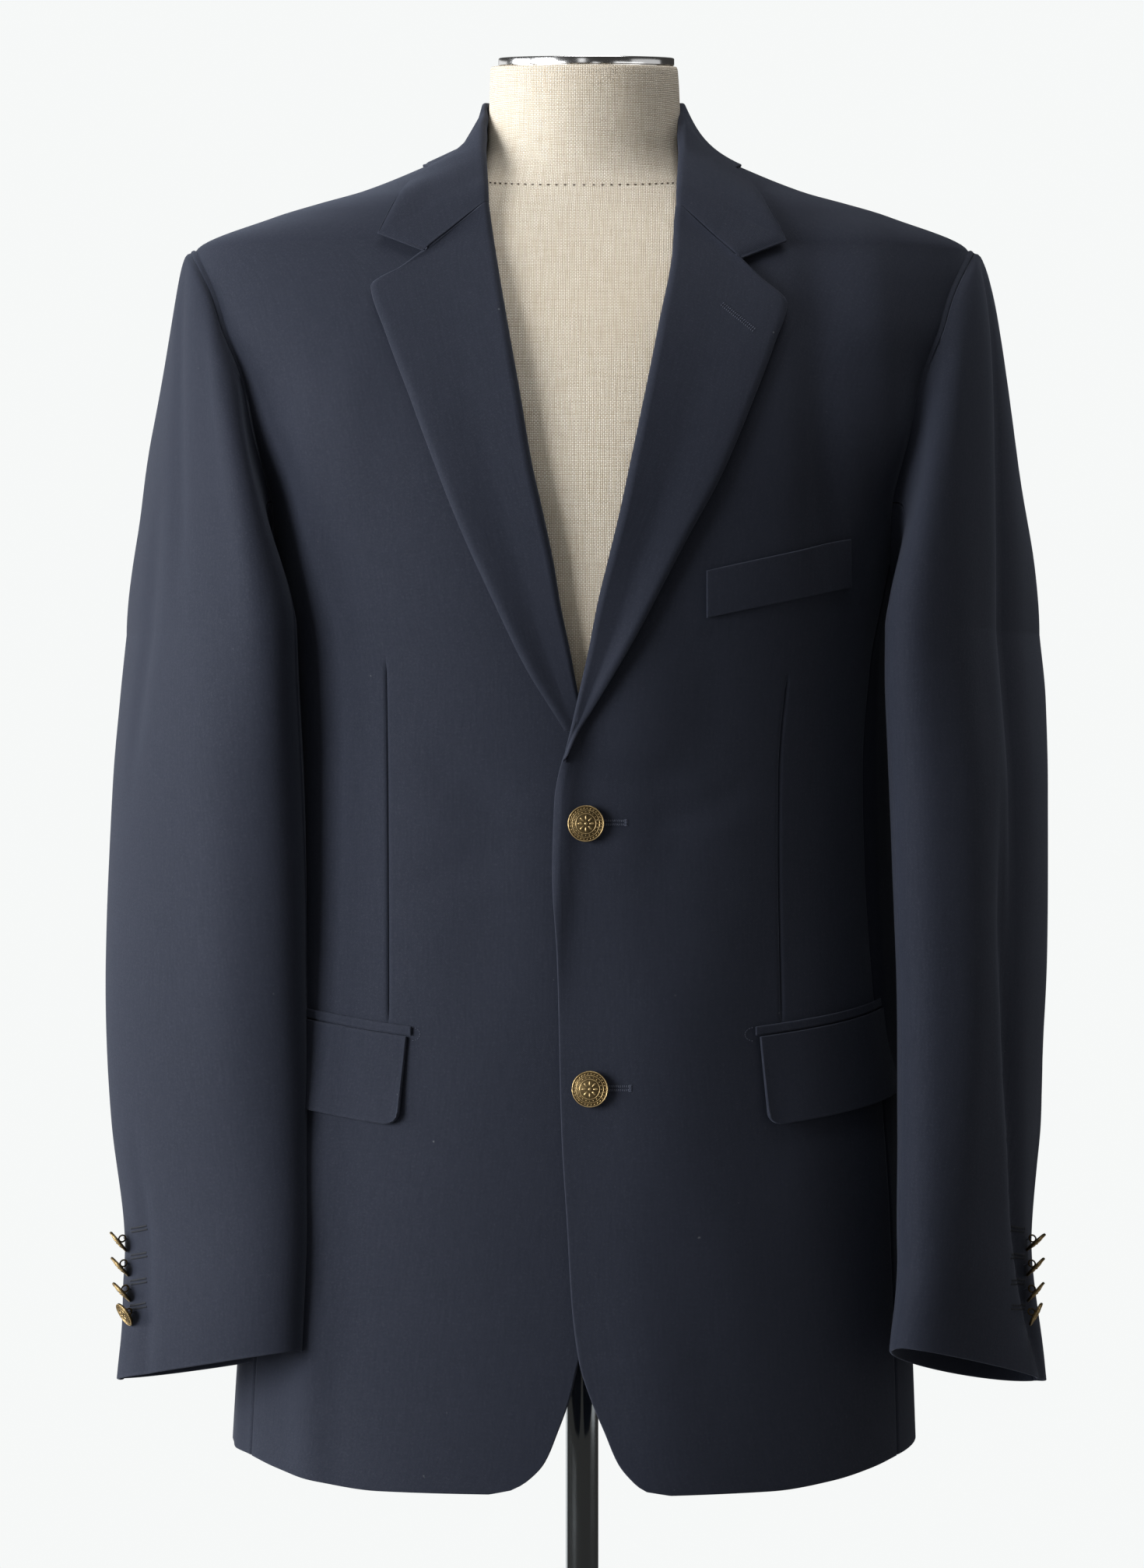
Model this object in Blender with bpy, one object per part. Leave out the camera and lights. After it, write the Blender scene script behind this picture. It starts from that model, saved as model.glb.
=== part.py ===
"""A two-button blazer on a limbless linen dress form with a round-based stand.

Metres, +Z up. The garment's front faces -Y and the wearer's left is at +X. The origin is on the floor under
the pole. Every piece of cloth is a closed wall, worked out from the garment's level sections and short tables.
"""

import math
from collections import namedtuple

import bmesh
import bpy
from mathutils import Vector

LEFT, RIGHT = 1, -1
CLOTH = 0.0020  # wall of every piece of cloth
SEAM = 0.0003  # each edge keeps this from the seam line
GORGE_GAP = 0.0007  # more than a seam's, because collar and lapel meet at a slant

# ---------------------------------------------------------------- the garment's level sections
# Each is a superellipse, |x / half_width|^power + |y / depth|^power = 1, with its own depth before and behind.
Section = namedtuple("Section", "z half_width front back power shift")
BODY = (
    Section(0.685, 0.2050, 0.134, 0.126, 2.3, -0.005),
    Section(0.760, 0.2015, 0.134, 0.125, 2.3, -0.004),
    Section(0.850, 0.1950, 0.132, 0.119, 2.3, -0.002),
    Section(0.950, 0.1840, 0.130, 0.107, 2.2, 0.000),
    Section(1.050, 0.1750, 0.129, 0.098, 2.2, 0.000),
    Section(1.110, 0.1730, 0.130, 0.098, 2.2, 0.000),
    Section(1.170, 0.1770, 0.134, 0.106, 2.2, 0.000),
    Section(1.210, 0.1845, 0.138, 0.113, 2.2, 0.000),
    Section(1.265, 0.1970, 0.140, 0.119, 2.2, 0.000),
    Section(1.303, 0.2130, 0.136, 0.121, 2.2, 0.000),
    Section(1.340, 0.2240, 0.126, 0.120, 2.2, 0.000),
    Section(1.371, 0.2340, 0.113, 0.114, 2.2, 0.000),
    Section(1.396, 0.2350, 0.099, 0.104, 2.2, 0.000),
    Section(1.417, 0.2310, 0.086, 0.094, 2.2, 0.000),
    Section(1.437, 0.1860, 0.077, 0.085, 2.2, 0.000),
    Section(1.452, 0.1380, 0.068, 0.077, 2.2, 0.000),
    Section(1.466, 0.0990, 0.060, 0.069, 2.1, 0.000),
    Section(1.482, 0.0640, 0.053, 0.062, 2.0, 0.000),
)

# Heights of the rows of points, from the hem up.
HEM, ARMHOLE_FOOT, SHOULDER_TIP, NECK_POINT = 0.694, 1.232, 1.417, 1.478
SIDE_LEVELS = (HEM, 0.730, 0.800, 0.850, 0.900, 0.950, 1.000, 1.050, 1.110, 1.164, 1.198, ARMHOLE_FOOT)
ARMHOLE_LEVELS = (1.265, 1.303, 1.340, 1.371, 1.396, 1.410)
SHOULDER_LEVELS = (SHOULDER_TIP, 1.437, 1.452, 1.466, NECK_POINT)
BACK_LEVELS = SIDE_LEVELS + ARMHOLE_LEVELS + SHOULDER_LEVELS
CUTAWAY_LEVELS = (0.6965, 0.7035, 0.7125, 0.748, 0.770)
BREAK_LEVELS = (1.085, 1.118, 1.130)
FRONT_LEVELS = tuple(sorted(BACK_LEVELS + CUTAWAY_LEVELS + BREAK_LEVELS))

# The hem rises a little from the front to the sides, by angle round the body.
HemPoint = namedtuple("HemPoint", "degrees z")
HEM_LINE = (
    HemPoint(0, HEM),
    HemPoint(30, HEM),
    HemPoint(44, 0.6975),
    HemPoint(56, 0.7025),
    HemPoint(67, 0.7070),
    HemPoint(88, 0.7110),
    HemPoint(125, 0.7050),
    HemPoint(180, 0.7010),
)
HEM_FADE = 0.850  # above this the rows are level
BACK_NECK_DROP, BACK_NECK_FADE = 0.010, 1.437  # the back neckline dips behind the neck

# The armhole is an upright oval in the side of the body.
ARMHOLE_Z, ARMHOLE_HALF_HEIGHT, ARMHOLE_HALF_DEPTH = 1.311, 0.106, 0.066
FRONT_SEAM_AT_HEM, BACK_SEAM_AT_HEM = math.radians(67), math.radians(117)

# ---------------------------------------------------------------- front edges, roll lines and lapels
# x of each front's edge. Below the lapels the left front laps over the right one, and both curve
# away at the hem.
FrontEdge = namedtuple("FrontEdge", "z left right")
FRONT_EDGES = (
    FrontEdge(0.6940, 0.0500, -0.0540),
    FrontEdge(0.6965, 0.0360, -0.0410),
    FrontEdge(0.7035, 0.0270, -0.0295),
    FrontEdge(0.7125, 0.0200, -0.0215),
    FrontEdge(0.7300, 0.0125, -0.0140),
    FrontEdge(0.7480, 0.0050, -0.0075),
    FrontEdge(0.7700, -0.0020, -0.0020),
    FrontEdge(0.8000, -0.0060, 0.0060),
    FrontEdge(0.8500, -0.0090, 0.0150),
    FrontEdge(0.9000, -0.0120, 0.0205),
    FrontEdge(1.0000, -0.0145, 0.0215),
    FrontEdge(1.0470, -0.0170, 0.0215),
    FrontEdge(1.0900, -0.0158, 0.0208),
    FrontEdge(1.1300, -0.0075, 0.0150),
)
ROLL_LINES = (
    FrontEdge(1.1100, -0.0118, 0.0090),
    FrontEdge(1.1370, -0.0055, 0.0010),
    FrontEdge(1.1560, -0.0013, -0.0033),
    FrontEdge(1.1750, 0.0030, -0.0068),
    FrontEdge(1.2010, 0.0080, -0.0122),
    FrontEdge(1.2280, 0.0145, -0.0167),
    FrontEdge(1.2550, 0.0210, -0.0224),
    FrontEdge(1.2830, 0.0270, -0.0287),
    FrontEdge(1.3230, 0.0355, -0.0355),
    FrontEdge(1.3650, 0.0440, -0.0430),
    FrontEdge(1.4070, 0.0520, -0.0500),
    FrontEdge(1.4380, 0.0540, -0.0545),
    FrontEdge(1.4800, 0.0600, -0.0600),
)
LAPEL_FOOT = 1.128  # the fronts end at their edge below this, and tuck under the roll above it
TUCK = 0.0052  # from the roll line to the front's own edge under the lapel
LAPEL_TUCK = 0.0036  # from the roll line to the lapel's own end beside that edge

# Each row of a lapel runs from its roll line, at crease_z, to a point on its outer edge.
LapelRow = namedtuple("LapelRow", "crease_z left_x left_z right_x right_z")
LAPEL_ROWS = (
    LapelRow(1.130, -0.0030, 1.1300, -0.0097, 1.1300),
    LapelRow(1.142, 0.0045, 1.1420, -0.0169, 1.1420),
    LapelRow(1.165, 0.0180, 1.1650, -0.0307, 1.1650),
    LapelRow(1.200, 0.0385, 1.2020, -0.0466, 1.1980),
    LapelRow(1.250, 0.0600, 1.2430, -0.0659, 1.2400),
    LapelRow(1.300, 0.0785, 1.2770, -0.0826, 1.2810),
    LapelRow(1.350, 0.0975, 1.3190, -0.1000, 1.3250),
    LapelRow(1.390, 0.1120, 1.3540, -0.1138, 1.3590),
    LapelRow(1.414, 0.1207, 1.3795, -0.1240, 1.3855),
    LapelRow(1.427, 0.1063, 1.3930, -0.1075, 1.3980),
    LapelRow(1.4385, 0.0913, 1.4055, -0.0920, 1.4100),
)
ROLL_RADIUS_LOW, ROLL_RADIUS_HIGH = 0.0014, 0.0028  # of the fold, to the middle of the cloth
ROLL_LOW_Z, ROLL_HIGH_Z = 1.210, 1.300
LAPEL_HEIGHT, COLLAR_HEIGHT = 0.0021, 0.0027  # middle of the cloth at the edge, above the panel it lies on
FOLD_TURNS = [math.radians(degrees) for degrees in (-90, -45, 0, 45, 90)]
SPREAD_STEPS = (0.25, 0.5, 0.75, 1.0)
LAPEL_LEVELS = (1.130, 1.142, 1.155, 1.175, 1.200, 1.230, 1.260, 1.290, 1.320, 1.350, 1.380)
LAPEL_LEVELS += (1.414, 1.427, 1.4385)

# The left front stands proud of the right one, and more so where the right lapel runs under it.
LapHeight = namedtuple("LapHeight", "z height")
LAP_HEIGHTS = (
    LapHeight(0.685, 0.0028),
    LapHeight(1.098, 0.0028),
    LapHeight(1.120, 0.0060),
    LapHeight(1.150, 0.0060),
    LapHeight(1.230, 0.0000),
    LapHeight(1.482, 0.0000),
)
LAP_FULL_X, LAP_END_X = 0.024, 0.080
VENT_TOP, VENT_WIDTH, VENT_HEIGHT, VENT_FADE = 0.950, 0.036, 0.0028, 0.050

# ---------------------------------------------------------------- collar
# One half, from the neck's side to the centre back, by the angle of the fall's edge round the body. The crease
# lies on a ring round the neck, at its own angle and height, and the stand's foot on the neckline.
CollarRow = namedtuple(
    "CollarRow", "edge_degrees edge_z crease_degrees crease_radius crease_z foot_degrees sag"
)
COLLAR_ROWS = (
    CollarRow(57, 1.4615, 63, 0.0677, 1.4840, 60, 0.0020),
    CollarRow(72, 1.4655, 79, 0.0612, 1.4970, 75, 0.0065),
    CollarRow(92, 1.4660, 96, 0.0602, 1.5055, 96, 0.0080),
    CollarRow(122, 1.4610, 122, 0.0600, 1.5080, 122, 0.0065),
    CollarRow(152, 1.4570, 152, 0.0600, 1.5060, 152, 0.0030),
    CollarRow(180, 1.4555, 180, 0.0600, 1.5040, 180, 0.0010),
)
NECK_ROLL_RADIUS, NECK_ROLL_DEGREES = 0.0017, 84  # the fold is tighter round the neck than in front
COLLAR_DEGREES = (57, 66, 76, 87, 99, 111, 123, 135, 147, 159, 170, 180)
# The fall's front end, lying on the front: the gorge seam out to the notch, then the tip, then the shoulder.
CollarFront = namedtuple("CollarFront", "crease_x crease_z edge_x edge_z")
COLLAR_FRONT = (
    CollarFront(0.0578, 1.4392, 0.0913, 1.4063),
    CollarFront(0.0583, 1.4480, 0.1185, 1.4175),
    CollarFront(0.0588, 1.4580, 0.1095, 1.4380),
    CollarFront(0.0595, 1.4690, 0.1030, 1.4520),
)
RIGHT_COLLAR_RISE = 0.0045  # the right collar point sits a little higher than the left one
FRONT_SAG = -0.0010
STAND_GAP = 0.0014  # the stand's foot above the neckline

# ---------------------------------------------------------------- sleeves
# Level sections of the tubes: ellipses whose long side turns from front-to-back to across down the arm.
SleeveRow = namedtuple("SleeveRow", "z y major minor right_x right_turn left_x left_turn")
SLEEVE_ROWS = (
    SleeveRow(0.740, -0.085, 0.0640, 0.0250, 0.2153, 36.4, 0.2236, 47.6),
    SleeveRow(0.757, -0.084, 0.0640, 0.0250, 0.2151, 36.8, 0.2234, 48.2),
    SleeveRow(0.830, -0.077, 0.0660, 0.0270, 0.2138, 39.9, 0.2225, 58.5),
    SleeveRow(0.900, -0.067, 0.0700, 0.0300, 0.2194, 38.5, 0.2256, 58.6),
    SleeveRow(1.000, -0.052, 0.0770, 0.0330, 0.2234, 44.8, 0.2286, 60.5),
    SleeveRow(1.100, -0.034, 0.0840, 0.0350, 0.2234, 53.8, 0.2288, 63.0),
    SleeveRow(1.150, -0.024, 0.0900, 0.0330, 0.2225, 58.7, 0.2281, 63.5),
    SleeveRow(1.190, -0.018, 0.0940, 0.0310, 0.2215, 61.5, 0.2266, 65.0),
)
SLEEVE_TUBE_TOP = 1.190
SLEEVE_LEVELS = (1.130, 1.065, 1.000, 0.935, 0.870, 0.810)
CUFF_Z, CUFF_DROP = 0.761, 0.009  # the cuff hangs lower behind
HEAD_STEPS = (0.0, 0.08, 0.20, 0.36, 0.56, 0.78, 1.0)
HEAD_OUT = {LEFT: 0.018, RIGHT: 0.012}  # fullness of the sleeve heads, the left one a little more
HEAD_BULGE, HEAD_RISE = 0.012, 0.40
HIND_LEVEL, FORE_LEVEL = 1.303, 1.265  # where the sleeve's two seams meet the armhole
UNDERARM_COLUMNS = 5
HEAD_GAP = 0.0010  # the sleeve head stands this far out from the armhole's edge

# ---------------------------------------------------------------- pockets and buttons
WELT_INNER_X, WELT_OUTER_X = 0.0705, 0.1560
WELT_INNER_Z, WELT_OUTER_Z = (1.1950, 1.2220), (1.2140, 1.2420)
FLAP_TOP_X, FLAP_FOOT_X, FLAP_TOP_Z = 0.1010, 0.1075, 0.9570
FLAP_LENGTH, FLAP_DEPTH, FLAP_RISE, FLAP_CORNER = 0.150, 0.0530, 0.016, 0.008
FLAP_END = math.radians(97)
JET_GAP, JET_HEIGHT, JET_OVERHANG = 0.0008, 0.0050, 0.0025
FLAP_WALL, JET_WALL, WELT_WALL = 0.0020, 0.0014, 0.0018
ON_PANEL = 0.0007  # clearance of a piece that lies on a panel

FRONT_BUTTONS = {"button_front_top": (0.0019, 1.0775), "button_front_bottom": (0.0045, 0.9260)}
FRONT_BUTTON_RADIUS, CUFF_BUTTON_RADIUS = 0.0105, 0.0076
CuffButton = namedtuple("CuffButton", "z left_degrees right_degrees")  # degrees round the sleeve
CUFF_BUTTONS = (
    CuffButton(0.8310, 60, 41),
    CuffButton(0.8165, 62, 44),
    CuffButton(0.8020, 64, 48),
    CuffButton(0.7890, 66, 51),
)
CUFF_BUTTON_DROOP = math.radians(38)
CUFF_BUTTON_OUT = 0.0079  # from the sleeve to the back of the disc
FRONT_SHANK, CUFF_SHANK = 0.0015, 0.0072

# ---------------------------------------------------------------- dress form and stand
FORM = (
    Section(0.8000, 0.150, 0.100, 0.092, 2.2, 0.0),
    Section(0.8150, 0.158, 0.108, 0.098, 2.2, 0.0),
    Section(0.9000, 0.160, 0.114, 0.098, 2.2, 0.0),
    Section(1.0000, 0.148, 0.114, 0.088, 2.2, 0.0),
    Section(1.0700, 0.142, 0.117, 0.082, 2.2, 0.0),
    Section(1.1500, 0.150, 0.124, 0.090, 2.2, 0.0),
    Section(1.2100, 0.160, 0.130, 0.100, 2.2, 0.0),
    Section(1.2650, 0.168, 0.132, 0.106, 2.2, 0.0),
    Section(1.3030, 0.174, 0.128, 0.108, 2.2, 0.0),
    Section(1.3400, 0.182, 0.118, 0.107, 2.2, 0.0),
    Section(1.3710, 0.190, 0.105, 0.102, 2.2, 0.0),
    Section(1.3960, 0.188, 0.091, 0.093, 2.2, 0.0),
    Section(1.4120, 0.172, 0.081, 0.084, 2.2, 0.0),
    Section(1.4300, 0.128, 0.070, 0.074, 2.2, 0.0),
    Section(1.4420, 0.090, 0.0640, 0.066, 2.1, 0.0),
    Section(1.4520, 0.071, 0.0600, 0.061, 2.05, 0.0),
    Section(1.4620, 0.0615, 0.0580, 0.0585, 2.0, 0.0),
    Section(1.4760, 0.0575, 0.0568, 0.0570, 2.0, 0.0),
    Section(1.5000, 0.0563, 0.0563, 0.0563, 2.0, 0.0),
    Section(1.5300, 0.0562, 0.0562, 0.0562, 2.0, 0.0),
)
FORM_SEGMENTS = 28
NECK_TILT, NECK_TILT_FROM = math.tan(math.radians(4)), 1.476
CAP_RADIUS, CAP_THICK, CAP_EDGE = 0.0525, 0.0050, 0.0012
POLE_RADIUS = 0.00975
BASE_RADIUS, BASE_THICK, HUB_RADIUS, HUB_TOP = 0.175, 0.008, 0.021, 0.032
TURNED_SEGMENTS = 32


def clear_scene():
    for obj in list(bpy.data.objects):
        bpy.data.objects.remove(obj, do_unlink=True)


def finish(name, color, roughness, metallic=0.0):
    """A Principled material."""
    material = bpy.data.materials.new(name)
    material.use_nodes = True
    shader = material.node_tree.nodes["Principled BSDF"]
    shader.inputs["Base Color"].default_value = (*color, 1.0)
    shader.inputs["Roughness"].default_value = roughness
    shader.inputs["Metallic"].default_value = metallic
    return material


def add_object(name, mesh, material):
    mesh.materials.append(material)
    mesh.shade_smooth()
    mesh.set_sharp_from_angle(angle=math.radians(40))
    obj = bpy.data.objects.new(name, mesh)
    bpy.context.scene.collection.objects.link(obj)
    return obj


def solid(name, points, faces, material):
    """One closed body, its faces turned outwards."""
    mesh = bpy.data.meshes.new(name)
    mesh.from_pydata(points, [], faces)
    model = bmesh.new()
    model.from_mesh(mesh)
    bmesh.ops.recalc_face_normals(model, faces=model.faces)
    model.to_mesh(mesh)
    model.free()
    return add_object(name, mesh, material)


def wall(name, outer, inner, material):
    """A wall of cloth between two lattices of points with the same rows and columns."""
    rows, columns = len(outer), len(outer[0])
    points = [point for row in outer + inner for point in row]
    behind = rows * columns

    def at(row, column):
        return row * columns + column

    faces = []
    for r in range(rows - 1):
        for c in range(columns - 1):
            quad = [at(r, c), at(r, c + 1), at(r + 1, c + 1), at(r + 1, c)]
            faces.append(quad)
            faces.append([behind + k for k in reversed(quad)])
    rim = [at(0, c) for c in range(columns)]
    rim += [at(r, columns - 1) for r in range(1, rows)]
    rim += [at(rows - 1, c) for c in range(columns - 2, -1, -1)]
    rim += [at(r, 0) for r in range(rows - 2, 0, -1)]
    for k, here in enumerate(rim):
        after = rim[(k + 1) % len(rim)]
        faces.append([after, here, behind + here, behind + after])
    return solid(name, points, faces, material)


def thickened(lattice, thickness):
    """The two faces of a cloth whose middle is the lattice."""
    rows, columns = len(lattice), len(lattice[0])
    front, behind = [], []
    for r in range(rows):
        normals = []
        for c in range(columns):
            along = lattice[r][min(c + 1, columns - 1)] - lattice[r][max(c - 1, 0)]
            up = lattice[min(r + 1, rows - 1)][c] - lattice[max(r - 1, 0)][c]
            normals.append(along.cross(up).normalized() * thickness / 2)
        front.append([point + normal for point, normal in zip(lattice[r], normals)])
        behind.append([point - normal for point, normal in zip(lattice[r], normals)])
    return front, behind


def loft(name, rings, material):
    """A solid through closed rings with the same number of points, its ends closed flat."""
    count = len(rings[0])
    points = [point for ring in rings for point in ring]
    faces = [list(range(count)), list(range((len(rings) - 1) * count, len(rings) * count))]
    for r in range(len(rings) - 1):
        for k in range(count):
            here, after = r * count + k, r * count + (k + 1) % count
            faces.append([here, after, after + count, here + count])
    return solid(name, points, faces, material)


def slope(rows, field, k):
    """The slope of a table's curve at row k, flat where the table turns, so the curve never overshoots."""
    def secant(i):
        return (getattr(rows[i + 1], field) - getattr(rows[i], field)) / (rows[i + 1][0] - rows[i][0])

    if k == 0:
        return secant(0)
    if k == len(rows) - 1:
        return secant(k - 1)
    before, after = secant(k - 1), secant(k)
    if before * after <= 0:
        return 0.0
    return 2 * before * after / (before + after)


def read(rows, field, at):
    """A column of a table at a value of its first column, on a smooth curve through the rows."""
    at = min(max(at, rows[0][0]), rows[-1][0])
    k = max(i for i in range(len(rows) - 1) if rows[i][0] <= at)
    span = rows[k + 1][0] - rows[k][0]
    t = (at - rows[k][0]) / span
    low, high = getattr(rows[k], field), getattr(rows[k + 1], field)
    low_slope, high_slope = slope(rows, field, k) * span, slope(rows, field, k + 1) * span
    rise = t * t * (3 - 2 * t)
    return low + (high - low) * rise + low_slope * t * (1 - t) ** 2 - high_slope * t * t * (1 - t)


def mix(a, b, t):
    return a + (b - a) * t


def eased(value, start, end):
    """0 before start, 1 after end, smooth between."""
    t = min(max((value - start) / (end - start), 0.0), 1.0)
    return t * t * (3 - 2 * t)


def section_point(table, z, angle):
    """A point of a level section: angle 0 is the centre front, 90 degrees the wearer's left, 180 the back."""
    half_width = read(table, "half_width", z)
    depth = read(table, "front" if math.cos(angle) > 0 else "back", z)
    exponent = 2 / read(table, "power", z)
    across = math.copysign(abs(math.sin(angle)) ** exponent, math.sin(angle))
    ahead = math.copysign(abs(math.cos(angle)) ** exponent, math.cos(angle))
    return Vector((read(table, "shift", z) + half_width * across, -depth * ahead, z))


def body_point(z, angle, height=0.0):
    """A point at a height over the outside of the garment's body."""
    d_angle, d_z = 0.01, 0.0005
    here = section_point(BODY, z, angle)
    if height == 0.0:
        return here
    across = section_point(BODY, z, angle + d_angle) - section_point(BODY, z, angle - d_angle)
    up = section_point(BODY, z + d_z, angle) - section_point(BODY, z - d_z, angle)
    return here + across.cross(up).normalized() * height


def angle_at_x(z, x):
    """The angle of a front point of the body."""
    ratio = (x - read(BODY, "shift", z)) / read(BODY, "half_width", z)
    sine = min(abs(ratio), 1.0) ** (read(BODY, "power", z) / 2)
    return math.copysign(math.asin(sine), ratio)


def angle_at_depth(z, y):
    """The angle, on the wearer's left, of a point of the body's side at a depth y."""
    depth = read(BODY, "front" if y < 0 else "back", z)
    cosine = min(abs(y) / depth, 1.0) ** (read(BODY, "power", z) / 2)
    return math.acos(math.copysign(cosine, -y))


def armhole_angle(z, facing):
    """The armhole's edge at a height: facing -1 in front, +1 behind."""
    rise = min(abs(z - ARMHOLE_Z) / ARMHOLE_HALF_HEIGHT, 1.0)
    return angle_at_depth(z, facing * ARMHOLE_HALF_DEPTH * math.sqrt(1 - rise * rise))


def armhole_turn(level, facing):
    """Where round the armhole a level lies: 0 is its hindmost point, 90 degrees its top, 270 its foot."""
    turn = math.asin(min((level - ARMHOLE_Z) / ARMHOLE_HALF_HEIGHT, 1.0))
    return math.pi - turn if facing < 0 else turn


def armhole_point(turn):
    """(z, angle) of a point of the armhole, on the wearer's left."""
    z = ARMHOLE_Z + ARMHOLE_HALF_HEIGHT * math.sin(turn)
    return z, angle_at_depth(z, ARMHOLE_HALF_DEPTH * math.cos(turn))


def underarm_turns():
    """The turns of the side panel's top edge, from the front seam to the back one."""
    start, end = armhole_turn(ARMHOLE_FOOT, -1), armhole_turn(ARMHOLE_FOOT, 1) + 2 * math.pi
    return [mix(start, end, c / UNDERARM_COLUMNS) for c in range(UNDERARM_COLUMNS + 1)]


FRONT_SEAM_TOP = armhole_angle(ARMHOLE_FOOT, -1)
BACK_SEAM_TOP = armhole_angle(ARMHOLE_FOOT, 1)


def front_seam(z):
    return mix(FRONT_SEAM_AT_HEM, FRONT_SEAM_TOP, eased(z, HEM, ARMHOLE_FOOT))


def back_seam(z):
    return mix(BACK_SEAM_AT_HEM, BACK_SEAM_TOP, eased(z, HEM, ARMHOLE_FOOT))


def side_limit(z, facing):
    """How far round a front or a back reaches: to its seam, then the armhole, then the shoulder seam."""
    if z <= ARMHOLE_FOOT:
        return front_seam(z) if facing < 0 else back_seam(z)
    if z < SHOULDER_TIP:
        return armhole_angle(z, facing)
    return math.pi / 2


def row_height(level, angle):
    """A row's height: the lowest rows follow the hem, the highest ones the neckline."""
    lowest = read(HEM_LINE, "z", abs(math.degrees(angle)))
    z = level + (lowest - HEM) * (1 - eased(level, HEM, HEM_FADE))
    behind = eased(abs(angle), math.pi / 2, math.pi)
    return z - BACK_NECK_DROP * behind * eased(level, BACK_NECK_FADE, NECK_POINT)


def pulled(z, angle, distance):
    """An angle moved along the surface by a distance in metres."""
    d_angle = 0.01
    span = (section_point(BODY, z, angle + d_angle) - section_point(BODY, z, angle - d_angle)).length
    return angle + distance * 2 * d_angle / span


def lap_height(side, x, z):
    """How far the left front stands off the right one."""
    if side == RIGHT:
        return 0.0
    return read(LAP_HEIGHTS, "height", z) * (1 - eased(x, LAP_FULL_X, LAP_END_X))


def front_point(side, x, z, height=0.0):
    """A point over a front, lap included."""
    return body_point(z, angle_at_x(z, x), height + lap_height(side, x, z))


def side_name(side):
    return "left" if side == LEFT else "right"


def front_edge(side, z):
    """x of a front's inner edge."""
    if z < LAPEL_FOOT:
        return read(FRONT_EDGES, side_name(side), z)
    return read(ROLL_LINES, side_name(side), z) + side * TUCK


def body_wall(name, lattice, material):
    """A panel of the body from a lattice of (z, angle, height)."""
    outer = [[body_point(z, angle, height) for z, angle, height in row] for row in lattice]
    inner = [[body_point(z, angle, height - CLOTH) for z, angle, height in row] for row in lattice]
    return wall(name, outer, inner, material)


def make_front(side, cloth, columns=9, crowding=1.2):
    lattice = []
    for level in FRONT_LEVELS:
        start = angle_at_x(level, front_edge(side, level))
        end = pulled(level, side * side_limit(level, -1), -side * SEAM)
        row = []
        for c in range(columns + 1):
            angle = mix(start, end, (c / columns) ** crowding)
            z = row_height(level, angle)
            row.append((z, angle, lap_height(side, section_point(BODY, z, angle).x, z)))
        lattice.append(row)
    body_wall("front_" + side_name(side), lattice, cloth)


def make_side(side, cloth):
    """The panel under the arm, its top edge cut to the armhole."""
    below = SIDE_LEVELS[-3]
    lattice = []
    for level in SIDE_LEVELS:
        start = pulled(level, front_seam(level), SEAM)
        end = pulled(level, back_seam(level), -SEAM)
        share = max((level - below) / (ARMHOLE_FOOT - below), 0.0)
        row = []
        for c, turn in enumerate(underarm_turns()):
            angle = mix(start, end, c / UNDERARM_COLUMNS)
            z = row_height(level, angle)
            top_z, top_angle = armhole_point(turn)
            if share > 0:
                z = mix(below, top_z - SEAM, share)
                inset = 0.0 if 0 < c < UNDERARM_COLUMNS else start - front_seam(level)
                angle = mix(angle, top_angle + math.copysign(inset, UNDERARM_COLUMNS / 2 - c), share)
            row.append((z, side * angle, 0.0))
        lattice.append(row)
    body_wall("side_" + side_name(side), lattice, cloth)


def vent_reach(z):
    """How far the left back runs past the centre: nothing down to the vent, then all of the vent's width."""
    return VENT_WIDTH * (1 - eased(z, VENT_TOP - VENT_FADE, VENT_TOP))


def vent_lap(z, angle):
    """How far the left back stands off the right one, full before it starts to run past the centre."""
    share = 1 - eased(z, VENT_TOP, VENT_TOP + VENT_FADE)
    return VENT_HEIGHT * share * eased(angle, math.radians(145), math.radians(170))


def make_back(side, cloth, columns=7):
    """A back, from the centre seam to the side. Below the vent's top the left one laps over the right one."""
    lattice = []
    for level in BACK_LEVELS:
        centre = pulled(level, math.pi, -SEAM)
        if side == LEFT:
            centre = pulled(level, math.pi, vent_reach(level) - SEAM)
        end = pulled(level, side_limit(level, 1), SEAM)
        row = []
        for c in range(columns + 1):
            angle = mix(centre, end, c / columns)
            z = row_height(level, min(angle, 2 * math.pi - angle))
            lap = vent_lap(z, angle) if side == LEFT else 0.0
            row.append((z, side * angle, lap))
        lattice.append(row)
    body_wall("back_" + side_name(side), lattice, cloth)


def fold(centre, outward, spread, radius):
    """Points round a fold, from the layer beneath, over the crest, to the layer on top."""
    turns = [(radius * math.sin(turn), radius * math.cos(turn)) for turn in FOLD_TURNS]
    return [centre + outward * rise - spread * back for rise, back in turns]


def roll_radius(z):
    return mix(ROLL_RADIUS_LOW, ROLL_RADIUS_HIGH, eased(z, ROLL_LOW_Z, ROLL_HIGH_Z))


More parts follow.
